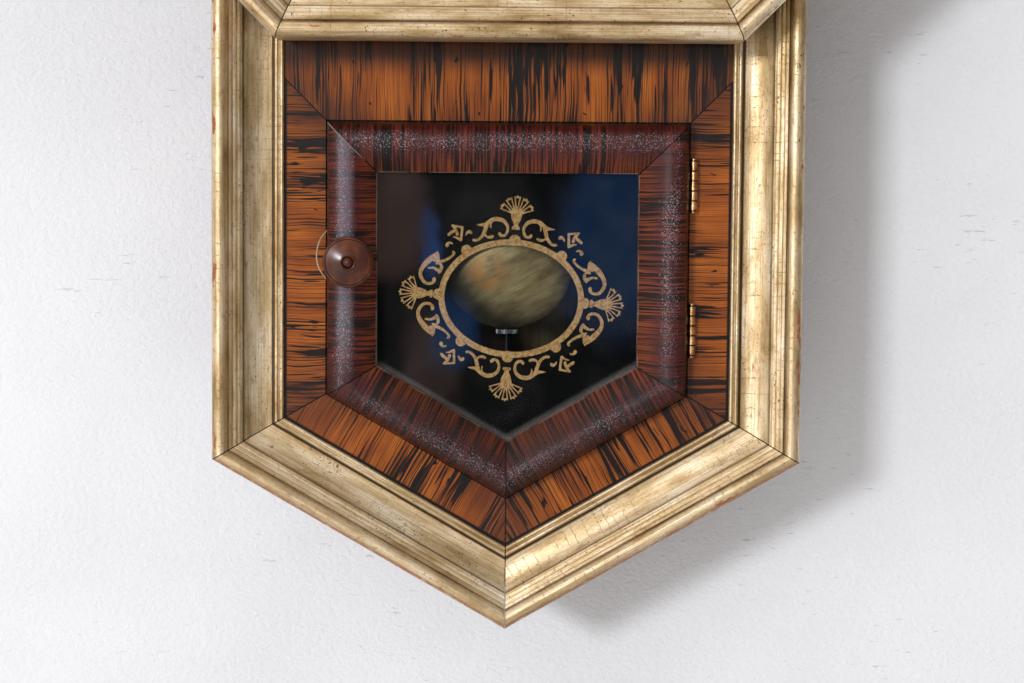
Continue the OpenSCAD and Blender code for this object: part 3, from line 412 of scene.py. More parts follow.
def blob(tree, at, x, z, wide, high):
    """1 at a place on the front, falling softly to 0 at the rim of an oval about it."""
    off = add(tree, "VectorMath", {0: at, 1: (x, 0, z)}, operation="SUBTRACT")
    flat = add(tree, "VectorMath", {0: off, 1: (1 / wide, 0, 1 / high)}, operation="MULTIPLY")
    return where(tree, (add(tree, "VectorMath", {0: flat}, "Value", operation="LENGTH"), 1.0, 0.45))


def gilded_wood():
    """Old bronze-gilt gesso over red bole: a soft metallic sheen, cross cracks every few millimetres, brown
    specks, and red bole and pale gesso where the gold is rubbed off the outside edges."""
    material, tree, shader = new_material("old_gilt_gesso")
    lay, ends, inward, forward, along = laid(tree)
    gold = add(tree, "ValToRGB", {0: pattern(tree, lay, (7, 9, 30), 4, 0.6)}, stops=[
        (0.3, "#94794E"), (0.44, "#C0A67C"), (0.58, "#DCC6A2"), (0.76, "#F0E4CC")])
    # Greenish clouds, streaks drawn along the moulding, stains and rust
    for cells, detail, rough, start, end, share, code in (
            ((6, 9, 45), 2, 0.55, 0.52, 0.68, 0.2, "#B8A86E"),
            ((0.45, 0.45, 55), 2, 0.55, 0.48, 0.64, 0.5, "#8F7650"),
            ((3.2, 3.2, 11), 4, 0.75, 0.55, 0.7, 0.5, "#7C5C3A"),
            ((2.4, 2.4, 5), 3, 0.6, 0.64, 0.72, 0.55, "#A8703A")):
        cloud = pattern(tree, lay, cells, detail, rough)
        gold = tinted(tree, gold, where(tree, (cloud, start, end)), share, code)
    mottle = pattern(tree, lay, (1.0, 1.0, 1.8), 4, 0.7)
    gold = tinted(tree, gold, where(tree, (mottle, 0.53, 0.7)), 0.45, "#8A6E46")
    # Darker in the hollows between the reeds, at the foot of the cove and in the groove above it
    for low, low_end, high_end, high, share, code in (
            (6.2, 6.9, 7.1, 8.2, 0.5, "#6A5030"), (22.7, 23.4, 24.1, 24.6, 0.9, "#4A3420"),
            (11.95, 12.15, 12.4, 12.9, 0.6, "#5A4228")):
        gold = tinted(tree, gold, where(tree, (inward, low, low_end), (inward, high, high_end)), share, code)
    crowd = add(tree, "Math", {0: pattern(tree, lay, (9, 9, 26), 2), 1: 0.5}, operation="SUBTRACT")
    crowd = add(tree, "Math", {0: crowd, 1: 0.3}, operation="MULTIPLY")
    speck = add(tree, "Math", {0: pattern(tree, lay, (0.75, 0.75, 0.9), 2), 1: crowd}, operation="ADD")
    gold = tinted(tree, gold, where(tree, (speck, 0.68, 0.72)), 1, "#33241A")
    # Rubbed through to the bole near the outer arris
    near_edge = where(tree, (inward, 3.4, 0.6), (inward, 0.3, 0.9))
    near_edge = add(tree, "Math", {0: near_edge, 1: 0.12}, operation="MULTIPLY")
    rubbed = add(tree, "Math", {0: pattern(tree, lay, (4, 4, 10), 5, 0.65), 1: near_edge}, operation="ADD")
    rubbed = where(tree, (rubbed, 0.66, 0.73))
    gold = tinted(tree, gold, rubbed, 1, "#96522B")
    # The drop's lower edges are bare
    facing = add(tree, "SeparateXYZ", {0: add(tree, "NewGeometry", give="Normal")}, 2)
    height = add(tree, "SeparateXYZ", {0: object_mm(tree)}, 2)
    bared = where(tree, (inward, 2.1, 1.1), (facing, 0.0, -0.3), (height, -450.0, -475.0),
                  (forward, 82.5, 84.5))
    ragged = where(tree, (pattern(tree, lay, (1.2, 1.2, 3.0), 3, 0.7), 0.3, 0.5))
    gold = tinted(tree, gold, add(tree, "Math", {0: bared, 1: ragged}, operation="MULTIPLY"), 1, "#9C6846")
    edge = add(tree, "Math", {0: where(tree, (inward, 1.6, 0.2)), 1: 0.14}, operation="MULTIPLY")
    chipped = add(tree, "Math", {0: pattern(tree, lay, (1.1, 1.1, 1.6), 3, 0.7), 1: edge}, operation="ADD")
    gold = tinted(tree, gold, where(tree, (chipped, 0.74, 0.77)), 1, "#D9D2C6")
    # Cracks run across the moulding, wandering a little, in patches
    wander = pattern(tree, lay, (2.4, 2.4, 5), 3, 0.7)
    wander = add(tree, "Math", {0: wander, 1: 2.2}, operation="MULTIPLY")
    wander = add(tree, "Math", {0: along, 1: wander}, operation="ADD")
    wander = add(tree, "Math", {0: wander, 1: 4.3}, operation="DIVIDE")
    gap = add(tree, "TexVoronoi", {"W": wander, "Scale": 1.0}, "Distance", voronoi_dimensions="1D",
              feature="DISTANCE_TO_EDGE")
    patchy = pattern(tree, lay, (6, 6, 14), 2)
    crack = where(tree, (gap, 0.04, 0.0), (patchy, 0.45, 0.62))
    gold = tinted(tree, gold, crack, 0.35, "#4E3A24")
    gold = tinted(tree, gold, where(tree, (ends, 0.32, 0.08)), 1, "#3A2616")
    worn = add(tree, "Math", {0: rubbed, 1: bared}, operation="MAXIMUM")
    worn = add(tree, "Math", {0: worn, 1: crack}, operation="MAXIMUM")
    worn = add(tree, "Math", {0: worn, 1: 0.65}, operation="MULTIPLY")
    dull = add(tree, "Math", {0: mottle, 1: 0.2}, operation="MULTIPLY")
    proud = add(tree, "Math", {0: mottle, 1: 0.5}, operation="MULTIPLY")
    sunk = add(tree, "Math", {0: crack, 1: 0.6}, operation="MULTIPLY")
    height = add(tree, "Math", {0: proud, 1: sunk}, operation="SUBTRACT")
    relief = add(tree, "Bump", {"Height": height, "Distance": 0.14 * MM})
    feed(shader, {"Base Color": gold, "Normal": relief,
                  "Metallic": add(tree, "Math", {0: 0.76, 1: worn}, operation="SUBTRACT"),
                  "Roughness": add(tree, "Math", {0: 0.34, 1: dull}, operation="ADD")})
    return material


def combed(tree, lay, wander):
    """Places on a board, drifting a little along it, so that streaks across it aren't ruled lines."""
    drift = pattern(tree, lay, (26, 20, 22), 2, 0.5)
    drift = add(tree, "Math", {0: drift, 1: 0.5}, operation="SUBTRACT")
    drift = add(tree, "Math", {0: drift, 1: wander}, operation="MULTIPLY")
    return add(tree, "VectorMath", {0: lay, 1: add(tree, "CombineXYZ", {2: drift})}, operation="ADD")


def streaked(tree, moved, colour, bunch_cell, bunching, streaks):
    """Lays dark streaks of several widths across the board, bunched here and there. The first kind runs
    evenly. Each is its reach and width, the level it starts and ends at, and its colour."""
    bunch = pattern(tree, moved, (90, 60, bunch_cell), 2, 0.6)
    bunch = add(tree, "Math", {0: bunch, 1: 0.5}, operation="SUBTRACT")
    bunch = add(tree, "Math", {0: bunch, 1: bunching}, operation="MULTIPLY")
    for k, (reach, width, start, soft, code) in enumerate(streaks):
        level = pattern(tree, moved, (reach, 40, width), 2, 0.55)
        level = add(tree, "Math", {0: level, 1: bunch if k else 0.0}, operation="ADD")
        colour = tinted(tree, colour, where(tree, (level, start, start + soft)), 1, code)
    return colour


def grained_board():
    """Softwood painted in imitation of rosewood: an orange-brown ground, black streaks combed straight
    across each board and bunched here and there, a few black flames, and old varnish; painted shade along
    the edges and towards the mitred corners, and a painted shadow under the octagon's edge."""
    material, tree, shader = new_material("rosewood_grained_softwood")
    lay, ends, inward = laid(tree)[:3]
    colour = add(tree, "ValToRGB", {0: pattern(tree, lay, (30, 40, 9), 3, 0.5)}, stops=[
        (0.3, "#76390D"), (0.48, "#9E5315"), (0.64, "#B2621D"), (0.8, "#C0752B")])
    colour = streaked(tree, combed(tree, lay, 2.6), colour, 10, 0.75, (
        (60, 0.36, 0.46, 0.16, "#6A3313"), (70, 0.8, 0.52, 0.08, "#2B150B"),
        (34, 1.9, 0.575, 0.05, "#140C08"), (19, 5.0, 0.69, 0.03, "#0D0907")))
    bend = pattern(tree, lay, (9, 20, 7), 2, 0.5)
    hook = add(tree, "CombineXYZ", {0: add(tree, "Math", {0: bend, 1: 14.0}, operation="MULTIPLY"),
                                    2: add(tree, "Math", {0: bend, 1: 5.0}, operation="MULTIPLY")})
    hooked = add(tree, "VectorMath", {0: lay, 1: hook}, operation="ADD")
    flame = pattern(tree, hooked, (9, 20, 4.2), 1, 0.4)
    colour = tinted(tree, colour, where(tree, (flame, 0.715, 0.73)), 1, "#0B0706")
    # Painted shade: each board darkens towards its mitred corners
    colour = tinted(tree, colour, where(tree, (ends, 24.0, 0.0)), 0.55, "#2A1818")
    # Painted shadow: a near-black line along the edge beside the gilt moulding, where the two meet
    colour = tinted(tree, colour, where(tree, (inward, 1.3, 0.6)), 1, "#0B0605")
    # Painted shadow of the octagon, cast on the board just below its edge
    y, z = add(tree, "SeparateXYZ", {0: object_mm(tree)}, None).outputs[1:]
    under = where(tree, (z, LOW_CORNER_Z, LOW_CORNER_Z + 10), (y, -88.0, -86.0))
    colour = tinted(tree, colour, under, 0.8, "#120B08")
    colour = tinted(tree, colour, where(tree, (ends, 0.4, 0.1)), 1, "#0B0605")
    skin = pattern(tree, lay, (1.4, 1.4, 0.9), 3, 0.6)
    relief = add(tree, "Bump", {"Height": skin, "Distance": 0.05 * MM})
    feed(shader, {"Base Color": colour, "Specular IOR Level": UNDER_VARNISH, "Coat Weight": 0.8,
                  "Coat IOR": 1.4, "Coat Roughness": 0.18, "Normal": relief})
    return material


def varnished_moulding():
    """Dark red-brown graining, streaked black straight across each length, under thick varnish that has
    shrunk into a fine crackle, with pale specks painted along the ridge for its sparkle; rubbed pale
    at the arris beside the glass."""
    material, tree, shader = new_material("crackled_dark_varnish")
    lay, ends, inward, _, along = laid(tree)
    x, _, z = add(tree, "SeparateXYZ", {0: object_mm(tree)}, None).outputs
    colour = add(tree, "ValToRGB", {0: pattern(tree, lay, (60, 60, 12), 3)}, stops=[
        (0.3, "#3A1212"), (0.5, "#5C201C"), (0.75, "#783028")])
    colour = tinted(tree, colour, where(tree, (inward, 10.5, 17.5)), 0.55, "#8A4414")
    colour = streaked(tree, combed(tree, lay, 1.8), colour, 12, 0.5, (
        (60, 0.5, 0.42, 0.2, "#32120D"), (70, 0.95, 0.48, 0.14, "#190B09"), (40, 2.6, 0.6, 0.12, "#120908")))
    # Painted glints: pale specks crowd along the ridge, standing in for the sparkle of the crackled varnish
    ridge = where(tree, (inward, 0.8, 5.5), (inward, 14.5, 8.5))
    ridge = add(tree, "Math", {0: ridge, 1: 0.18}, operation="MULTIPLY")
    painted_glints = add(tree, "Math", {0: pattern(tree, lay, (0.62, 0.62, 0.5), 2, 0.6), 1: ridge}, operation="ADD")
    patch = pattern(tree, lay, (12, 20, 26), 2)
    colour = tinted(tree, colour, where(tree, (painted_glints, 0.73, 0.8), (patch, 0.3, 0.6)), 0.5, "#ABA6AE")
    # Painted shade: a near-black line along the outer edge, in the gap between door and panel
    colour = tinted(tree, colour, where(tree, (inward, 1.2, 0.2)), 1, "#0C0606")
    worn = pattern(tree, lay, (2, 2, 9), 3, 0.6)
    colour = tinted(tree, colour, where(tree, (inward, 19.1, 19.5), (worn, 0.42, 0.6)), 0.6, "#8C7F74")
    # Painted sheen: a pale blue sheen on the outer slope of the left length, fading out towards its lower end
    tint_patch = where(tree, (inward, 3.0, 7.0), (inward, 12.0, 8.5), (along, LEFT_RAIL[0], LEFT_RAIL[0] + 1),
                  (along, LEFT_RAIL[1] + 1, LEFT_RAIL[1]), (z, -505.0, -470.0))
    colour = tinted(tree, colour, tint_patch, 0.26, "#9C9AA8")
    # The lower lengths are darker towards the bottom
    colour = tinted(tree, colour, where(tree, (z, -484.0, -510.0)), 0.4, "#1C0C06")
    colour = tinted(tree, colour, where(tree, (ends, 0.34, 0.12)), 1, "#080404")
    # The mitre at the upper left has opened and shows its pale gesso
    opened = where(tree, (x, -50.0, -55.0), (z, -412.0, -408.0), (ends, 0.2, 0.1))
    colour = tinted(tree, colour, opened, 1, "#B9B0AA")
    grain = pattern(tree, lay, (0.9, 0.9, 0.55), 3, 0.7)
    cells = add(tree, "VectorMath", {0: lay, 1: (1, 1, 1 / 0.7)}, operation="MULTIPLY")
    crackle = add(tree, "TexVoronoi", {"Vector": cells, "Scale": 1.0}, "Distance", feature="DISTANCE_TO_EDGE")
    crackle = add(tree, "Math", {0: where(tree, (crackle, 0.0, 0.12)), 1: 0.4}, operation="MULTIPLY")
    height = add(tree, "Math", {0: grain, 1: crackle}, operation="ADD")
    relief = add(tree, "Bump", {"Height": grain, "Distance": 0.1 * MM})
    coat_relief = add(tree, "Bump", {"Height": height, "Distance": 0.17 * MM})
    feed(shader, {"Base Color": colour, "Specular IOR Level": UNDER_VARNISH, "Coat Weight": 1.0,
                  "Coat IOR": 1.34, "Coat Roughness": 0.25, "Normal": relief,
                  "Coat Normal": coat_relief})
    return material


def plain_wood(name, dark, light):
    """Old oiled softwood: long pores along the grain and darker patches where hands and smoke reached."""
    material, tree, shader = new_material(name)
    at = object_mm(tree)
    grain = pattern(tree, at, (3.0, 3.0, 70.0), 4, 0.6)
    colour = add(tree, "ValToRGB", {0: grain}, stops=[(0.32, dark), (0.68, light)])
    pores = pattern(tree, at, (0.75, 0.75, 17.5), 2)
    colour = tinted(tree, colour, where(tree, (pores, 0.5, 0.7)), 0.5, dark)
    colour = tinted(tree, colour, where(tree, (pattern(tree, at, 60, 3), 0.5, 0.75)), 0.5, dark)
    relief = add(tree, "Bump", {"Height": grain, "Distance": 0.12 * MM})
    feed(shader, {"Base Color": colour, "Roughness": 0.55, "Normal": relief})
    return material


def evenly(colours, start, reach):
    """A ramp's stops at even steps."""
    return [(start + reach * k / (len(colours) - 1), code) for k, code in enumerate(colours)]


def metal(name, colours, roughness, spread=0.12, scale=6.0, streak=(1, 1, 1), bump=0.04, spots="#3A2A18"):
    """Handled metal: cloudy tarnish, fine scratches along one direction, and small dark spots."""
    material, tree, shader = new_material(name)
    at = object_mm(tree)
    cloud = pattern(tree, at, scale, 5, 0.65)
    colour = add(tree, "ValToRGB", {0: cloud}, stops=evenly(colours, 0.3, 0.4))
    colour = tinted(tree, colour, where(tree, (pattern(tree, at, 0.9, 2), 0.66, 0.74)), 1, spots)
    brush = pattern(tree, at, tuple(0.35 * s for s in streak), 2)
    shift = add(tree, "Math", {0: cloud, 1: 0.5}, operation="SUBTRACT")
    shift = add(tree, "Math", {0: shift, 1: spread * 2}, operation="MULTIPLY")
    relief = add(tree, "Bump", {"Height": brush, "Distance": bump * MM})
    feed(shader, {"Base Color": colour, "Metallic": 1.0, "Normal": relief,
                  "Roughness": add(tree, "Math", {0: roughness, 1: shift}, operation="ADD")})
    return material


def hinge_metal():
    """Small cast brass butts, rubbed bright on their knuckles, with a dark line at each joint between two."""
    material = metal("rubbed_hinge_brass", ["#8E6240", "#CF9C6C", "#EEC79C"], 0.27, scale=4.0)
    tree = material.node_tree
    shader = [n for n in tree.nodes if n.type == "BSDF_PRINCIPLED"][0]
    height = add(tree, "SeparateXYZ", {0: object_mm(tree)}, 2)
    lower = add(tree, "Math", {0: height, 1: DIAL_Z + sum(HINGE_Z) / 2}, operation="LESS_THAN")
    start = add(tree, "Math", {0: lower, 1: HINGE_Z[1] - HINGE_Z[0], 2: DIAL_Z + HINGE_Z[0] - HINGE_L / 2},
                operation="MULTIPLY_ADD")
    above = add(tree, "Math", {0: height, 1: start}, operation="SUBTRACT")
    off = add(tree, "Math", {0: above, 1: HINGE_L / 10}, operation="PINGPONG")
    colour = shader.inputs["Base Color"].links[0].from_socket
    feed(shader, {"Base Color": tinted(tree, colour, where(tree, (off, 0.38, 0.16)), 1, "#1C1108")})
    return material


def blended(tree, a, share_a, b, share_b):
    """Two patterns in one, each with its share."""
    part_a = add(tree, "Math", {0: a, 1: share_a}, operation="MULTIPLY")
    part_b = add(tree, "Math", {0: b, 1: share_b}, operation="MULTIPLY")
    return add(tree, "Math", {0: part_a, 1: part_b}, operation="ADD")


def bob_metal():
    """Brass sheet brushed by years of polishing on the slant, browned, with an orange patch at one side, and
    painted shade darkening it towards its rim.
    """
    material, tree, shader = new_material("brushed_bob_brass")
    at = object_mm(tree)
    slant = add(tree, "VectorRotate", {"Vector": at, "Angle": math.radians(28)}, rotation_type="Y_AXIS")
    brush = pattern(tree, slant, (9, 3, 0.5), 4, 0.65)
    cloud = pattern(tree, slant, (13, 12, 6), 4, 0.6)
    both = blended(tree, cloud, 0.72, brush, 0.28)
    colour = add(tree, "ValToRGB", {0: both}, stops=[(0.36, "#75604A"), (0.5, "#A78C66"), (0.64, "#C9B08A")])
    tint_patch = add(tree, "Math", {0: blob(tree, at, -8, -455, 11, 10), 1: where(tree, (cloud, 0.3, 0.6))},
                operation="MULTIPLY")
    colour = tinted(tree, colour, tint_patch, 0.75, "#C07834")
    # Painted shade: near black outside a circle about the part seen through the oval, where the case shades
    # the bob
    dull = add(tree, "Math", {0: 1.0, 1: blob(tree, at, 8, -449, 30, 30)}, operation="SUBTRACT")
    colour = tinted(tree, colour, dull, 0.9, "#15171A")
    colour = tinted(tree, colour, where(tree, (pattern(tree, at, 0.9, 2), 0.72, 0.76)), 1, "#2E2212")
    relief = add(tree, "Bump", {"Height": brush, "Distance": 0.04 * MM})
    feed(shader, {"Base Color": colour, "Metallic": 0.8, "Roughness": 0.42, "Normal": relief})
    return material


def pane(name, tint, haze=0.0):
    """Old window glass: clear, with a Fresnel gloss and a little dust. The clear part lets light straight
    through, so what lies behind it is lit."""
    material, tree, output = bare_material(name)
    at = object_mm(tree)
    wave = add(tree, "Bump", {"Height": pattern(tree, at, 30, 2), "Distance": 0.06 * MM})
    clear = add(tree, "BsdfTransparent", {"Color": linear(tint)})
    gloss = add(tree, "BsdfGlossy", {"Color": (1, 1, 1, 1), "Roughness": 0.03, "Normal": wave})
    fresnel = add(tree, "Fresnel", {"IOR": 1.5, "Normal": wave})
    # The face that light enters by carries the gloss of both, and the face that it leaves by is clear
    twice = add(tree, "Math", {0: fresnel, 1: 2.0}, operation="MULTIPLY")
    more = add(tree, "Math", {0: fresnel, 1: 1.0}, operation="ADD")
    both = add(tree, "Math", {0: twice, 1: more}, operation="DIVIDE")
    leaving = add(tree, "NewGeometry", give="Backfacing")
    entering = add(tree, "Math", {0: 1.0, 1: leaving}, operation="SUBTRACT")
    both = add(tree, "Math", {0: both, 1: entering}, operation="MULTIPLY")
    mix = add(tree, "MixShader", {0: both, 1: clear, 2: gloss})
    if haze:
        cloud = pattern(tree, at, 22, 3)
        share = add(tree, "Math", {0: where(tree, (cloud, 0.35, 0.8)), 1: haze}, operation="MULTIPLY")
        speck = where(tree, (pattern(tree, at, 0.7, 2), 0.775, 0.8))
        speck = add(tree, "Math", {0: speck, 1: 0.5}, operation="MULTIPLY")
        share = add(tree, "Math", {0: share, 1: speck}, operation="ADD")
        # Dust has settled on the two sloping rails
        ledge = drop_outline(DOOR_INSET + RAIL_W, DOOR_TOP)[-1][1]
        for a in (240, 300):
            n = direction(a)
            down = add(tree, "VectorMath", {0: at, 1: (n.x, 0, n.y)}, "Value", operation="DOT_PRODUCT")
            foot = ledge + DIAL_Z * n.y
            thin = add(tree, "Math", {0: cloud, 1: 0.4}, operation="MULTIPLY")
            low = where(tree, (down, foot - 2.8, foot))
            dust = add(tree, "Math", {0: low, 1: thin}, operation="MULTIPLY")
            share = add(tree, "Math", {0: share, 1: dust}, operation="ADD")
        dust = add(tree, "BsdfDiffuse", {"Color": linear("#8E8A86")})
        mix = add(tree, "MixShader", {0: share, 1: mix, 2: dust})
    feed(output, {0: mix})
    return material


def painted(name, colours, roughness, metallic=0.0, scale=20.0, fleck=None, coat=0.0, level=0.5):
    """Brushed or rolled paint: slow shifts of tone, a faint skin in the gloss, and specks of age."""
    material, tree, shader = new_material(name)
    at = object_mm(tree)
    colour = add(tree, "ValToRGB", {0: pattern(tree, at, scale, 4, 0.6)}, stops=evenly(colours, 0.32, 0.36))
    if fleck:
        colour = tinted(tree, colour, where(tree, (pattern(tree, at, 1.2, 2), 0.7, 0.76)), 1, fleck)
    skin = pattern(tree, at, 1.8, 2)
    dull = add(tree, "Math", {0: skin, 1: 0.16}, operation="MULTIPLY")
    relief = add(tree, "Bump", {"Height": skin, "Distance": 0.02 * MM})
    feed(shader, {"Base Color": colour, "Metallic": metallic, "Specular IOR Level": level,
                  "Coat Weight": coat, "Coat Roughness": 0.26, "Normal": relief,
                  "Roughness": add(tree, "Math", {0: roughness - 0.08, 1: dull}, operation="ADD")})
    return material


def polished_knob():
    """Walnut turned on the lathe and french polished: fine rings, dark in the grooves, and a soft gloss."""
    material, tree, shader = new_material("french_polished_walnut")
    at = object_mm(tree)
    off = add(tree, "VectorMath", {0: at, 1: (KNOB_X, 0, KNOB_Z + DIAL_Z)}, operation="SUBTRACT")
    flat = add(tree, "VectorMath", {0: off, 1: (1, 0, 1)}, operation="MULTIPLY")
    away = add(tree, "VectorMath", {0: flat}, "Value", operation="LENGTH")
    rings = pattern(tree, add(tree, "CombineXYZ", {0: away}), (1 / 2.2, 1, 1), 3, 0.7)
    cloud = pattern(tree, at, (5, 5, 9), 4, 0.6)
    both = blended(tree, rings, 0.5, cloud, 0.5)
    colour = add(tree, "ValToRGB", {0: both}, stops=[(0.36, "#1E0C05"), (0.5, "#461E0B"), (0.64, "#6C3818")])
    relief = add(tree, "Bump", {"Height": rings, "Distance": 0.08 * MM})
    feed(shader, {"Base Color": colour, "Specular IOR Level": UNDER_VARNISH, "Coat Weight": 1.0,
                  "Coat IOR": 1.4, "Coat Roughness": 0.21, "Normal": relief})
    return material


gilt = gilded_wood()
grained = grained_board()
varnished = varnished_moulding()
# Yellow brass, cast or rolled, long untouched: brown in the hollows
hinge_brass = hinge_metal()
brass = metal("tarnished_brass", ["#7A4E22", "#B98546", "#D9A968"], 0.3, scale=5.0)
polished = metal("spun_brass_bezel", ["#94713F", "#B99058", "#CFAE7C"], 0.2, 0.08, scale=30.0,
                 streak=(4, 1, 4), bump=0.015)
movement_brass = metal("rolled_clock_brass", ["#9A7636", "#BF9850", "#D3B06A"], 0.33, scale=16.0,
                       streak=(1, 1, 9), bump=0.02)
bob_brass = bob_metal()
steel = metal("plain_carbon_steel", ["#5E5E60", "#8C8C90", "#A8A8AC"], 0.36, scale=8.0, spots="#5A3A22")
blued = metal("blued_spring_steel", ["#1B2230", "#2C3648", "#3E4658"], 0.3, scale=12.0, spots="#3A2418")
wire = metal("dull_iron_wire", ["#222224", "#343436", "#464442"], 0.5, scale=7.0, spots="#4A2E1C")
iron = painted("japanned_cast_iron", ["#101012", "#1C1B1B", "#262423"], 0.5, scale=8.0, fleck="#4A3020")
case_wood = plain_wood("stained_case_pine", "#2E1A0E", "#5A3A20")
back_wood = plain_wood("unfinished_back_pine", "#5C4024", "#8A6A42")
cream = painted("cream_zinc_paint", ["#DDD3BA", "#E8E0CA", "#EEE7D4"], 0.42, scale=45.0, fleck="#B79A6C",
                coat=0.1)
black = painted("black_japan", ["#0C0C0D", "#121213", "#1A1918"], 0.32, scale=30.0, coat=0.2)
ink = painted("black_dial_ink", ["#141414", "#1B1A19", "#24221F"], 0.6, scale=12.0)
back_paint = painted("black_back_painting", ["#020203", "#040405", "#070606"], 0.5, scale=18.0,
                     level=UNDER_VARNISH)
gold_leaf = painted("gold_size_transfer", ["#A87242", "#D8A26E", "#EDC496"], 0.5, metallic=0.1, scale=1.0,
                    fleck="#7E4E28", level=UNDER_VARNISH)
door_glass = pane("old_door_glass", "#EDF2F0", haze=0.03)
dial_glass = pane("old_dial_glass", "#FBFCFB")

# Gilt mouldings


def gilt_profile(base, top):
    foot, cove, bead = GILT_W - 4.6, 17.35, 3.4
    points = [(0, base)] + arc(bead, top - bead, bead, 180, 20, 18)
    for k in range(3):
        points += arc(6.98 + k * 1.64, top - 3.43 - k * 0.8, 2.15, 89, 39, 6)
    points += arc(11.85, top - 4.05, 0.4, 120, 0, 5)
    points += arc(foot, top - 8.9 + cove, cove, 180 + math.degrees(math.asin((cove - 4.1) / cove)), 270, 12)
    points += [(foot + 0.3, top - 9.3), (foot + 0.6, top - 9.3)]
    points += arc(GILT_W - 3, top - 8.7, 1, 180, 20, 8) + arc(GILT_W - 1, top - 8.7, 1, 160, 0, 8)
    return points + [(GILT_W, base)]


for k in range(8):
    piece = mitred_length(f"octagon_gilt_{k + 1}", gilt_profile(RING_F, RING_TO + GILT_RISE),
                          even_outline(OCTAGON_HALF), GILT_W, k, 4.0, wear=0.22, seed=k)
    smoothed(piece)
    finished(piece, gilt, "case", "gilding", "octagon_gilt_moulding")
for number, k in enumerate((0, 2, 3, 4)):
    piece = mitred_length(f"drop_gilt_{number + 1}", gilt_profile(BOARD_F, PANEL_F + GILT_RISE),
                          drop_outline(0, DROP_TOP_Z), GILT_W, k, 3.2, wear=0.22, seed=k + 9)
    smoothed(piece)
    finished(piece, gilt, "case", "gilding", "drop_gilt_moulding")

# Grained boards

opening = DOOR_INSET - GILT_W - 0.8
board_profile = [(0, BOARD_F), (0, PANEL_F), (opening, PANEL_F), (opening, SHELF_F), (opening + 3.8, SHELF_F),
                 (opening + 3.8, BOARD_F)]
board_outline = drop_outline(GILT_W, DOOR_TOP + LIP)
for number, k in enumerate((0, 2, 3, 4)):
    piece = mitred_length(f"panel_board_{number + 1}", board_profile, board_outline, 25, k, 9.0, seed=k + 20)
    smoothed(piece)
    finished(piece, grained, "case", "grained_wood", "drop_front_frame")


def top_board():
    """The board above the door runs up behind the octagon and carries the block that closes the gap there."""
    corner, half = DOOR_TOP + LIP, DROP_HALF - GILT_W
    rise, steps = DROP_TOP_Z - corner, 20
    profile = [(x + rise, f) for x, f in board_profile[2:]] + [(0, BOARD_F), (0, PANEL_F)]
    tall = outline_face("panel_board_5", [(DROP_TOP_Z - p[0], -p[1]) for p in profile])
    bpy.ops.transform.translate(value=(0, 0, -half * MM))
    for _ in range(steps):
        bpy.ops.mesh.extrude_region_move(TRANSFORM_OT_translate={"value": (0, 0, half * 2 / steps * MM)})
    for side in (-1, 1):
        bisected(Vector((corner, 0, side * (half - JOINT))) * MM, Vector((-1, 0, side)).normalized())
    outward()
    bpy.ops.object.mode_set(mode="OBJECT")
    values, gaps = [], []
    for v in tall.data.vertices:
        p = v.co / MM
        values += [DROP_TOP_Z - p.x, -p.y, p.z + 24 * LAY_STEP]
        gaps.append(((p.x - corner) + half - abs(p.z)) / math.sqrt(2))
    keep_lay(tall, values, gaps)
    tall.rotation_euler = (0, -math.radians(90), 0)
    tall.location = place(0, 0, 0)
    settled(tall)
    return tall


finished(top_board(), grained, "case", "grained_wood", "drop_front_frame")
filler = block("octagon_back_fillet", (-88, 88), (PANEL_F, RING_F), (EDGE_Z + 2, DROP_TOP_Z), 0.6)
finished(filler, case_wood, "case", "case_wood", "drop_front_frame")

ring_outline = even_outline(OCTAGON_HALF - GILT_W)
ring_profile = [(0, RING_F), (0, RING_TO), (38, RING_TO), (RING_BOARD_W, RING_TO), (RING_BOARD_W, RING_F)]
cutter = turned("dial_opening", [(OPENING_R, RING_F - 5), (OPENING_R, RING_TO + 5)], 0, 0, 256)
for k in range(8):
    piece = mitred_length(f"octagon_board_{k + 1}", ring_profile, ring_outline, RING_BOARD_W, k, 9.0)
    modified(piece, "BOOLEAN", operation="DIFFERENCE", object=cutter, solver="EXACT")
    measured_lay(piece, ring_outline, RING_BOARD_W, k, k + 40)
    smoothed(piece)
    finished(piece, grained, "case", "grained_wood", "octagon_front")
bpy.data.objects.remove(cutter)

# Door

edge_f, ridge, ridge_f, sight_f = PANEL_F + 3.5, 7.0, PANEL_F + 12.0, GLASS_F + 2 + 4.2
rail_profile = [(0, DOOR_BACK), (0, edge_f)]
rail_profile += [(ridge * (1 - math.cos(math.radians(90 * k / 14))),
                  edge_f + (ridge_f - edge_f) * math.sin(math.radians(90 * k / 14))) for k in range(1, 15)]
rail_profile += [(ridge + (RAIL_W - ridge) * k / 14, ridge_f - (ridge_f - sight_f) * (k / 14) ** 1.7)
                 for k in range(1, 15)]
rail_profile += [(RAIL_W, GLASS_F + 2), (RAIL_W - 4.6, GLASS_F + 2), (RAIL_W - 4.6, DOOR_BACK)]
leaf_slots = [block(f"leaf_slot_{k}", (69.95, 72), (74, 81.6), (z - 9.9, z + 9.9))
              for k, z in enumerate(HINGE_Z)]
door_outline = drop_outline(DOOR_INSET, DOOR_TOP)
bore = turned("shaft_bore", [(1.7, 70), (1.7, 96)], KNOB_X, KNOB_Z, 32)
for k in range(5):
    piece = mitred_length(f"door_rail_{k + 1}", rail_profile, door_outline, RAIL_W, k, 4.0, wear=0.1)
    if k == 0:
        for slot in leaf_slots:
            modified(piece, "BOOLEAN", operation="DIFFERENCE", object=slot, solver="EXACT")
    if k == 2:
        modified(piece, "BOOLEAN", operation="DIFFERENCE", object=bore, solver="EXACT")
    measured_lay(piece, door_outline, RAIL_W, k, k + 60)
    smoothed(piece)
    finished(piece, varnished, "door", "door_wood", "door_frame")
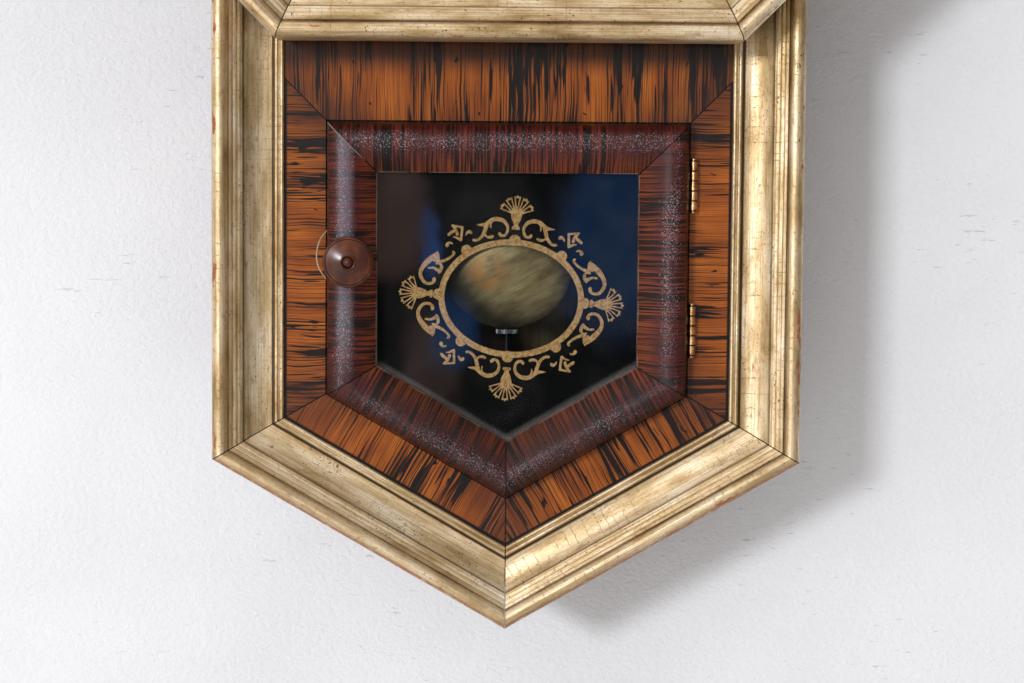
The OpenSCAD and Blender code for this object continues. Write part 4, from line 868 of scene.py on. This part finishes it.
for tool in leaf_slots + [bore]:
    bpy.data.objects.remove(tool)

# Painted tablet: glass in front, black paint behind it with a clear oval, gold between the two
sight = corners(inset_by(door_outline, RAIL_W - 4.2))
ORNAMENT, TILT, OVAL = (1.62, EDGE_Z - 100.2), 3.2, (26.6, 21.2)


def oval(a, b, steps=72):
    turns = [2 * math.pi * k / steps for k in range(steps)]
    return [(a * math.cos(t), b * math.sin(t)) for t in turns]


def turned_back(point):
    """A point from the dial's centre as the ornament's own, upright."""
    d = Vector((point[0] - ORNAMENT[0], point[1] - ORNAMENT[1]))
    c, s = math.cos(math.radians(TILT)), math.sin(math.radians(TILT))
    return (c * d.x - s * d.y, s * d.x + c * d.y)


glass = flat_cut("tablet_glass", [[(c.x, c.y) for c in sight]], GLASS_F + 0.4, GLASS_F + 2)
finished(glass, door_glass, "door", "painted_glass", "door_tablet")
paint = flat_cut("tablet_back_paint", [[turned_back(c) for c in sight], oval(*OVAL)],
                 GLASS_F + 0.02, GLASS_F + 0.2, origin=ORNAMENT, tilt=TILT)
finished(paint, back_paint, "door", "painted_glass", "door_tablet")


def stroke(points, widths, steps=5):
    """The outline of a drawn line whose width swells and tapers along it."""
    path, wide = [], []
    count = len(points)
    for k in range(count - 1):
        p0, p1, p2, p3 = (Vector(points[max(0, min(count - 1, k + d))]) for d in (-1, 0, 1, 2))
        for s in range(steps):
            t = s / steps
            path.append(0.5 * ((2 * p1) + (p2 - p0) * t + (2 * p0 - 5 * p1 + 4 * p2 - p3) * t * t
                               + (3 * p1 - p0 - 3 * p2 + p3) * t ** 3))
            wide.append(widths[k] + (widths[k + 1] - widths[k]) * t)
    path.append(Vector(points[-1]))
    wide.append(widths[-1])
    left, right = [], []
    for k, p in enumerate(path):
        d = path[min(k + 1, len(path) - 1)] - path[max(k - 1, 0)]
        side = Vector((-d.y, d.x)).normalized() * wide[k] / 2
        left.append(p + side)
        right.append(p - side)
    tip = [path[-1] + (path[-1] - path[-2]).normalized() * wide[-1] * 0.45]
    butt = [path[0] + (path[0] - path[1]).normalized() * wide[0] * 0.45]
    return [tuple(p) for p in left + tip + right[::-1] + butt]


def swung(points, a, off=0.0):
    """Points moved up by an offset, then turned clockwise about the origin."""
    c, s = math.cos(math.radians(a)), math.sin(math.radians(a))
    return [(x * c + (y + off) * s, -x * s + (y + off) * c) for x, y in points]


def palmette():
    """Five open fingers with notched ends on a slender bulb and a little capital, its foot at the origin."""
    right = [(1.5, 0), (1.6, 0.9), (0.9, 1.4), (0.95, 2.2), (1.9, 4.2), (2.2, 5.6), (1.6, 6.9), (0.6, 7.4)]
    left = [(-x, y) for x, y in right[::-1]]
    shapes = [[left[-1]] + right + left[:-1]]
    holes = []
    for angle, reach, w in ((0, 8.1, 1.2), (29, 7.9, 1.25), (-29, 7.9, 1.25),
                            (60, 7.6, 1.3), (-60, 7.6, 1.3)):
        lobe = [(-0.5, 1.0), (-0.7, 3.3), (-w, reach - 1.3), (-w * 1.12, reach - 0.5),
                (-w * 0.5, reach - 0.75), (0, reach), (w * 0.5, reach - 0.75), (w * 1.12, reach - 0.5),
                (w, reach - 1.3), (0.7, 3.3), (0.5, 1.0)]
        slit = [(-0.15, 3.2), (-w + 0.5, reach - 1.5), (0, reach - 1.15), (w - 0.5, reach - 1.5), (0.15, 3.2)]
        shapes.append([(x, 5.6 + y) for x, y in swung(lobe, angle)])
        holes.append([(x, 5.6 + y) for x, y in swung(slit, angle)])
    return shapes, holes


def seen(*points):
    """Points drawn in the upper left quarter, as millimetres from the ornament's centre."""
    spots = [(ORNAMENT[0] + (x - 1524) * 0.03, ORNAMENT[1] - (y - 1409) * 0.03) for x, y in points]
    return [turned_back(spot) for spot in spots]


quarter = [
    stroke(seen((505, 1150), (498, 1190), (455, 1215), (385, 1205), (335, 1140), (322, 1075), (350, 1000),
                (420, 920), (490, 860), (530, 820)), [1.5, 1.2, 1.1, 1.2, 1.3, 1.4, 1.7, 2.3, 2.0, 0.9]),
    seen((470, 880), (545, 785), (572, 830), (575, 900), (500, 935)),
    stroke(seen((545, 935), (640, 910), (720, 865), (765, 820), (752, 795)), [1.6, 1.1, 0.9, 0.9, 1.1]),
    stroke(seen((430, 1010), (490, 1008), (545, 1035), (575, 1060)), [0.8, 0.9, 1.3, 1.6]),
    stroke(seen((525, 955), (580, 955), (600, 990), (590, 1035), (562, 1080)), [0.6, 0.7, 1.2, 1.3, 0.7]),
    stroke(seen((1362, 550), (1385, 578), (1435, 570), (1468, 510), (1462, 440), (1410, 380), (1330, 358),
                (1255, 375), (1190, 415), (1130, 440)), [1.3, 1.1, 1.1, 1.0, 1.2, 1.5, 1.7, 1.5, 1.2, 0.9]),
    seen((1190, 410), (1140, 415), (1052, 437), (1105, 452), (1165, 462)),
    stroke(seen((1205, 410), (1180, 480), (1150, 560), (1105, 615), (1060, 640), (1018, 638)),
           [1.3, 1.5, 1.3, 1.1, 1.0, 1.1]),
    stroke(seen((1165, 560), (1195, 592), (1235, 600), (1275, 588)), [0.7, 0.9, 1.1, 1.1]),
    stroke(seen((1275, 380), (1248, 420), (1246, 475)), [0.8, 0.7, 0.5]),
    stroke(seen((745, 690), (715, 675), (680, 690), (672, 718)), [0.4, 0.8, 1.2, 1.5]),
    stroke(seen((918, 575), (935, 545), (965, 528), (985, 545)), [0.5, 0.9, 1.3, 1.4]),
    stroke(seen((735, 445), (880, 475)), [0.7, 0.9]),
    stroke(seen((872, 480), (852, 645)), [0.9, 1.0]),
    stroke(seen((745, 450), (790, 510), (805, 570)), [1.0, 1.0, 1.2]),
    stroke(seen((852, 640), (800, 610), (755, 598)), [1.2, 0.8, 0.5]),
    stroke(seen((790, 510), (745, 530), (690, 572)), [0.6, 1.3, 1.1]),
]
fingers, slits = palmette()
layers = []


def gold_piece(loops, tag):
    front = GLASS_F + 0.39 - 0.012 * (len(layers) % 11)
    layers.append(flat_cut(f"gold_{tag}", loops, GLASS_F + 0.21, front, origin=ORNAMENT, tilt=TILT))


ring = oval(OVAL[0] + 2.3, OVAL[1] + 2.3)
gold_piece([ring, oval(OVAL[0] - 0.05, OVAL[1] - 0.05)], "ring")
bosses = [(0, 23.1, 2.3), (0, -23.1, 2.3), (28.9, 0, 2.2), (-28.9, 0, 2.2)]
bosses += [(18.9, 18.1, 2.1), (-18.9, 18.1, 2.1), (18.9, -18.1, 2.1), (-18.9, -18.1, 2.1)]
for k, (x, z, r) in enumerate(bosses):
    boss = [(x + r * math.cos(a * math.pi / 12), z + r * math.sin(a * math.pi / 12)) for a in range(24)]
    gold_piece([boss], f"boss_{k}")
for sx in (-1, 1):
    for sz in (-1, 1):
        for n, loop in enumerate(quarter):
            gold_piece([[(-sx * x, sz * z) for x, z in loop]], f"scroll_{sx + 1}{sz + 1}_{n}")
for n, (angle, off) in enumerate(((0, 27.4), (90, 31.2), (180, 27.4), (270, 31.2))):
    for m, loop in enumerate(fingers):
        loops = [loop, slits[m - 1]] if m else [loop]
        gold_piece([swung(loop, angle, off) for loop in loops], f"palmette_{n}{m}")
finished(joined("tablet_gilding", layers), gold_leaf, "door", "painted_glass", "door_tablet")

# A ring worn on the panel by the knob's edge
rubbed_arc = [(-71.3, EDGE_Z - 73.6), (-74.1, EDGE_Z - 77.5), (-75.4, EDGE_Z - 83.3), (-74.4, EDGE_Z - 88.6),
              (-71.6, EDGE_Z - 92.8)]
worn_ring = flat_cut("worn_ring", [stroke(rubbed_arc, [0.2, 0.45, 0.5, 0.45, 0.2])], PANEL_F, PANEL_F + 0.03)
finished(worn_ring, painted("rubbed_varnish", ["#9A8468", "#B7A48A"], 0.6, scale=3.0), "case", "grained_wood",
         "drop_front_frame")

# Turned knob: a rim ring, a shallow cone, and a small bead in a ring at its middle
KNOB_F = PANEL_F + 12.15
knob_points = [(2.5, KNOB_F), (8.6, KNOB_F)] + arc(8.75, KNOB_F + 1.25, 1.25, -90, 0, 6)
knob_points += arc(8.75, KNOB_F + 2.1, 1.25, 0, 78, 7) + [(8.75, KNOB_F + 3.1)]
knob_points += [(8.7 - 5.75 * k / 8, KNOB_F + 3.35 + 1.6 * k / 8 + 0.06 * math.sin(math.pi * k / 8))
                for k in range(9)]
knob_points += arc(2.75, KNOB_F + 5.1, 0.45, 40, 170, 6) + [(2.1, KNOB_F + 4.9)]
knob_points += arc(0, KNOB_F + 4.9, 2.0, 15, 88, 8)
knob = turned("door_knob_turning", knob_points, KNOB_X, KNOB_Z)
smoothed(knob, 50)
finished(knob, polished_knob(), "latch", "knob_wood", "door_knob")
shaft = turned("door_knob_shaft", [(1.5, 67.5), (1.5, KNOB_F + 0.4)], KNOB_X, KNOB_Z, 32)
smoothed(shaft)
finished(shaft, brass, "latch", "brass", "door_knob")

# Bob: a brass lens
BOB_Z, BOB_R = EDGE_Z - 86.5, 26.0
ball = (BOB_R ** 2 + 5.5 ** 2) / (2 * 5.5)
dome = [(BOB_R * k / 16, 75 - ball + math.sqrt(ball ** 2 - (BOB_R * k / 16) ** 2)) for k in range(17)]
bob = turned("bob_lens", [(r, 138 - f) for r, f in dome] + dome[::-1], 0, BOB_Z)
smoothed(bob)
finished(bob, bob_brass, "bob", "bob_brass", "pendulum_bob")

# Dial figures

NUMERALS = ["XII", "I", "II", "III", "IIII", "V", "VI", "VII", "VIII", "IX", "X", "XI"]
MARK_F, FIGURES_R = RING_F + 0.02, 102.0


def slanted(x0, x1, w, h=22.0):
    return [(x0 - w / 2, 0), (x0 + w / 2, 0), (x1 + w / 2, h), (x1 - w / 2, h)]


def numeral_shapes(text):
    """Roman figures as thick and thin strokes between fine serif lines, foot at 0."""
    widths = {"I": 4.6, "V": 10.5, "X": 11.0}
    total = sum(widths[c] for c in text)
    x, shapes = -total / 2, []
    for c in text:
        w = widths[c]
        if c == "I":
            shapes.append(slanted(x + w / 2, x + w / 2, 2.6))
        elif c == "V":
            shapes += [slanted(x + w / 2, x + 2.4, 2.8), slanted(x + w / 2 + 0.4, x + w - 2.0, 1.0)]
        else:
            shapes += [slanted(x + w - 2.4, x + 2.4, 2.8), slanted(x + 2.2, x + w - 2.2, 1.0)]
        for y in (0, 21.3):
            shapes.append([(x + 0.35, y), (x + w - 0.35, y), (x + w - 0.35, y + 0.7), (x + 0.35, y + 0.7)])
        x += w
    return shapes


marks = []
for hour, text in enumerate(NUMERALS):
    for n, shape in enumerate(numeral_shapes(text)):
        loop = swung(shape, hour * 30, FIGURES_R)
        marks.append(flat_cut(f"figure_{hour}_{n}", [loop], MARK_F, MARK_F + 0.05))
for n, r in enumerate((129.0, 134.5)):
    rim = [[((r + d) * math.cos(k * math.pi / 90), (r + d) * math.sin(k * math.pi / 90)) for k in range(180)]
           for d in (0.45, 0)]
    marks.append(flat_cut(f"track_{n}", rim, MARK_F, MARK_F + 0.05))
ticks = []
for minute in range(60):
    w = 1.3 if minute % 5 == 0 else 0.35
    ticks.append(swung(((-w, 129.6), (w, 129.6), (w, 134.3), (-w, 134.3)), minute * 6))
marks.append(flat_cut("minute_marks", ticks, MARK_F, MARK_F + 0.05))
finished(joined("dial_figures", marks), ink, "case", "dial_paint")
grommet_points = [(r, RING_F + f) for r, f in ((6.1, 0.02), (7.6, 0.02), (7.5, 0.5), (6.8, 0.8), (6.1, 0.5),
                                               (6.1, 0.02))]
for n, x in enumerate(WINDING_HOLES):
    grommet = turned(f"winding_grommet_{n + 1}", grommet_points, x, WINDING_Z, 64)
    smoothed(grommet)
    finished(grommet, brass, "case", "brass")

# Finishes of the pieces kept from CAD

finishes = {
    case_wood: "head_case_boards drop_case_boards tablet_beads",
    back_wood: "back_board movement_cleats",
    cream: "dial_plate",
    black: "hour_hand minute_hand",
    polished: "dial_bezel bezel_glass_ring",
    dial_glass: "bezel_glass",
    brass: "dial_nails bezel_hinge_leaf hand_collet latch_tongue hinge_case_screws hinge_door_screws",
    hinge_brass: "door_hinge_case_leaves door_hinge_door_leaves door_hinge_pins",
    movement_brass: "movement_back_plate movement_front_plate movement_pillars time_main_wheel "
                    "strike_main_wheel centre_wheel third_wheel escape_wheel escape_cock cannon_pinion "
                    "minute_wheel hour_wheel strike_second_wheel strike_third_wheel strike_fly count_wheel",
    steel: "hanger_plate hanger_screws movement_screws time_winding_arbor strike_winding_arbor time_click "
           "strike_click verge_and_crutch count_lever strike_hammer rating_nut",
    wire: "pendulum_rod",
    blued: "time_mainspring strike_mainspring coil_gong",
    iron: "gong_block",
}
for material, names in finishes.items():
    for name in names.split():
        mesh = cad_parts[name].data
        mesh.materials.clear()
        mesh.materials.append(material)

# Wall, floor, light and camera


def wall_material():
    """Rolled white emulsion on plaster, faintly blue, with roller dimples; seen from behind it is clear."""
    material, tree, output = bare_material("rolled_white_wall")
    at = object_mm(tree)
    colour = add(tree, "ValToRGB", {0: pattern(tree, at, 160, 3)}, stops=[
        (0.35, "#E6E8EC"), (0.65, "#EFF1F4")])
    crowd = add(tree, "Math", {0: pattern(tree, at, (90, 90, 60), 1), 1: 0.3}, operation="MULTIPLY")
    scuff = add(tree, "Math", {0: pattern(tree, at, (14, 14, 2.2), 3, 0.7), 1: crowd}, operation="ADD")
    colour = tinted(tree, colour, where(tree, (scuff, 0.82, 0.88)), 0.5, "#A2A2A5")
    dimples = pattern(tree, at, (2.6, 2.6, 1.9), 4, 0.7)
    relief = add(tree, "Bump", {"Height": dimples, "Distance": 0.7 * MM})
    paint = add(tree, "BsdfPrincipled", {"Base Color": colour, "Roughness": 0.85, "Normal": relief})
    back = add(tree, "NewGeometry", give="Backfacing")
    feed(output, {0: add(tree, "MixShader", {0: back, 1: paint, 2: add(tree, "BsdfTransparent")})})
    return material


nothing_selected()
bpy.ops.mesh.primitive_plane_add(size=5, location=(0, 0.0005, 0.3), rotation=(math.radians(90), 0, 0))
wall = active()
wall.name = "plaster_wall"
settled(wall)
wall.data.materials.append(wall_material())
# An opening that the back board hides lets light from behind reach the clock's back
hidden = (even_outline(BOX_HALF - 4), drop_outline(BOX_INSET + 4, 0))
bpy.ops.object.mode_set(mode="EDIT")
for a, e in hidden[0] + hidden[1]:
    n = direction(a)
    bpy.ops.mesh.select_all(action="SELECT")
    bpy.ops.mesh.bisect(plane_co=place(n.x * e, 0, n.y * e), plane_no=(n.x, 0, n.y))
bpy.ops.mesh.select_mode(type="FACE")
bpy.ops.mesh.select_all(action="DESELECT")
cut = bmesh.from_edit_mesh(wall.data)
for face in cut.faces:
    middle = face.calc_center_median() / MM
    spot = Vector((middle.x, middle.z - DIAL_Z))
    face.select_set(any(all(direction(a).dot(spot) < e for a, e in outline) for outline in hidden))
bmesh.update_edit_mesh(wall.data)
bpy.ops.mesh.delete(type="FACE")
bpy.ops.object.mode_set(mode="OBJECT")
bpy.ops.mesh.primitive_plane_add(size=6, location=(0, -2.5, -1.5))
floor = active()
floor.name = "pale_floor"
floor.data.materials.append(painted("pale_floor_paint", ["#D8D6D2", "#E0DEDA", "#E6E4E0"], 0.6, scale=200.0))


def softbox(name, location, target, size, power, colour="#FFFFFF"):
    light = bpy.data.lights.new(name, "AREA")
    light.shape, light.size, light.size_y = "RECTANGLE", size[0], size[1]
    light.energy, light.color = power, linear(colour)[:3]
    obj = bpy.data.objects.new(name, light)
    bpy.context.scene.collection.objects.link(obj)
    obj.location = location
    obj.rotation_euler = (Vector(target) - Vector(location)).to_track_quat("-Z", "Y").to_euler()
    return obj


middle = (0, -0.08, -0.45)
softbox("key_softbox", (-2.5, -5.08, 0.53), middle, (0.8, 0.7), 155, "#F8FAFF")
softbox("top_softbox", (0, -1.2, 1.9), middle, (1.6, 1.0), 8)

world = bpy.data.worlds.new("studio")
bpy.context.scene.world = world
world.use_nodes = True
sky = world.node_tree
# The room is lighter towards its windows on the left
from_left = add(sky, "SeparateXYZ", {0: add(sky, "TexCoord", give="Generated")})
across = add(sky, "Math", {0: from_left, 1: 0.5, 2: 0.5}, operation="MULTIPLY_ADD")
brightness = add(sky, "ValToRGB", {0: across}, stops=[
    (0.27, 1.0), (0.4, 0.8), (0.5, 0.66), (0.62, 0.6), (0.75, 0.45), (0.87, 0.18)])
brightness = add(sky, "Math", {0: brightness, 1: 1.1}, operation="MULTIPLY")
feed(sky.nodes["Background"], {"Color": linear("#EFE9E6"), "Strength": brightness})

# The dark end of the room that the flat glass reflects, with cool windows and brown hangings in it
nothing_selected()
bpy.ops.mesh.primitive_plane_add(size=1, location=(0, -3.2, -0.655), rotation=(math.radians(-90), 0, 0))
card = active()
card.name = "room_end"
card.scale = (0.54, 0.62, 1)
settled(card)
cloth, tree, output = bare_material("room_end_cloth")
at = object_mm(tree)
colour = linear("#0B0B0C")
for x, z, wide, high, tint in ((200, -545, 130, 210, "#1A3860"), (-122, -548, 22, 74, "#2459A4"),
                               (-185, -505, 90, 140, "#54423E"), (-115, -760, 64, 130, "#483834"),
                               (-78, -700, 50, 80, "#22426E")):
    colour = tinted(tree, colour, blob(tree, at, x, z, wide, high), 1, tint)
feed(output, {0: add(tree, "Emission", {"Color": colour, "Strength": 4.0})})
card.data.materials.append(cloth)
card.visible_camera = card.visible_diffuse = card.visible_shadow = card.visible_transmission = False
card.visible_volume_scatter = False

view = bpy.data.cameras.new("camera")
view.sensor_width, view.lens = 36, 82.3
camera = bpy.data.objects.new("camera", view)
bpy.context.scene.collection.objects.link(camera)
bpy.context.scene.camera = camera
aim = (Matrix.Rotation(math.radians(-0.43), 4, "Z") @ Matrix.Rotation(math.radians(-4.34), 4, "X")
       @ Matrix.Rotation(math.radians(-0.46), 4, "Y") @ Matrix.Rotation(math.radians(90), 4, "X"))
camera.matrix_world = Matrix.Translation((-0.0049, -1.004, -0.4119)) @ aim
bpy.context.scene.view_settings.view_transform = "Standard"

nothing_selected()
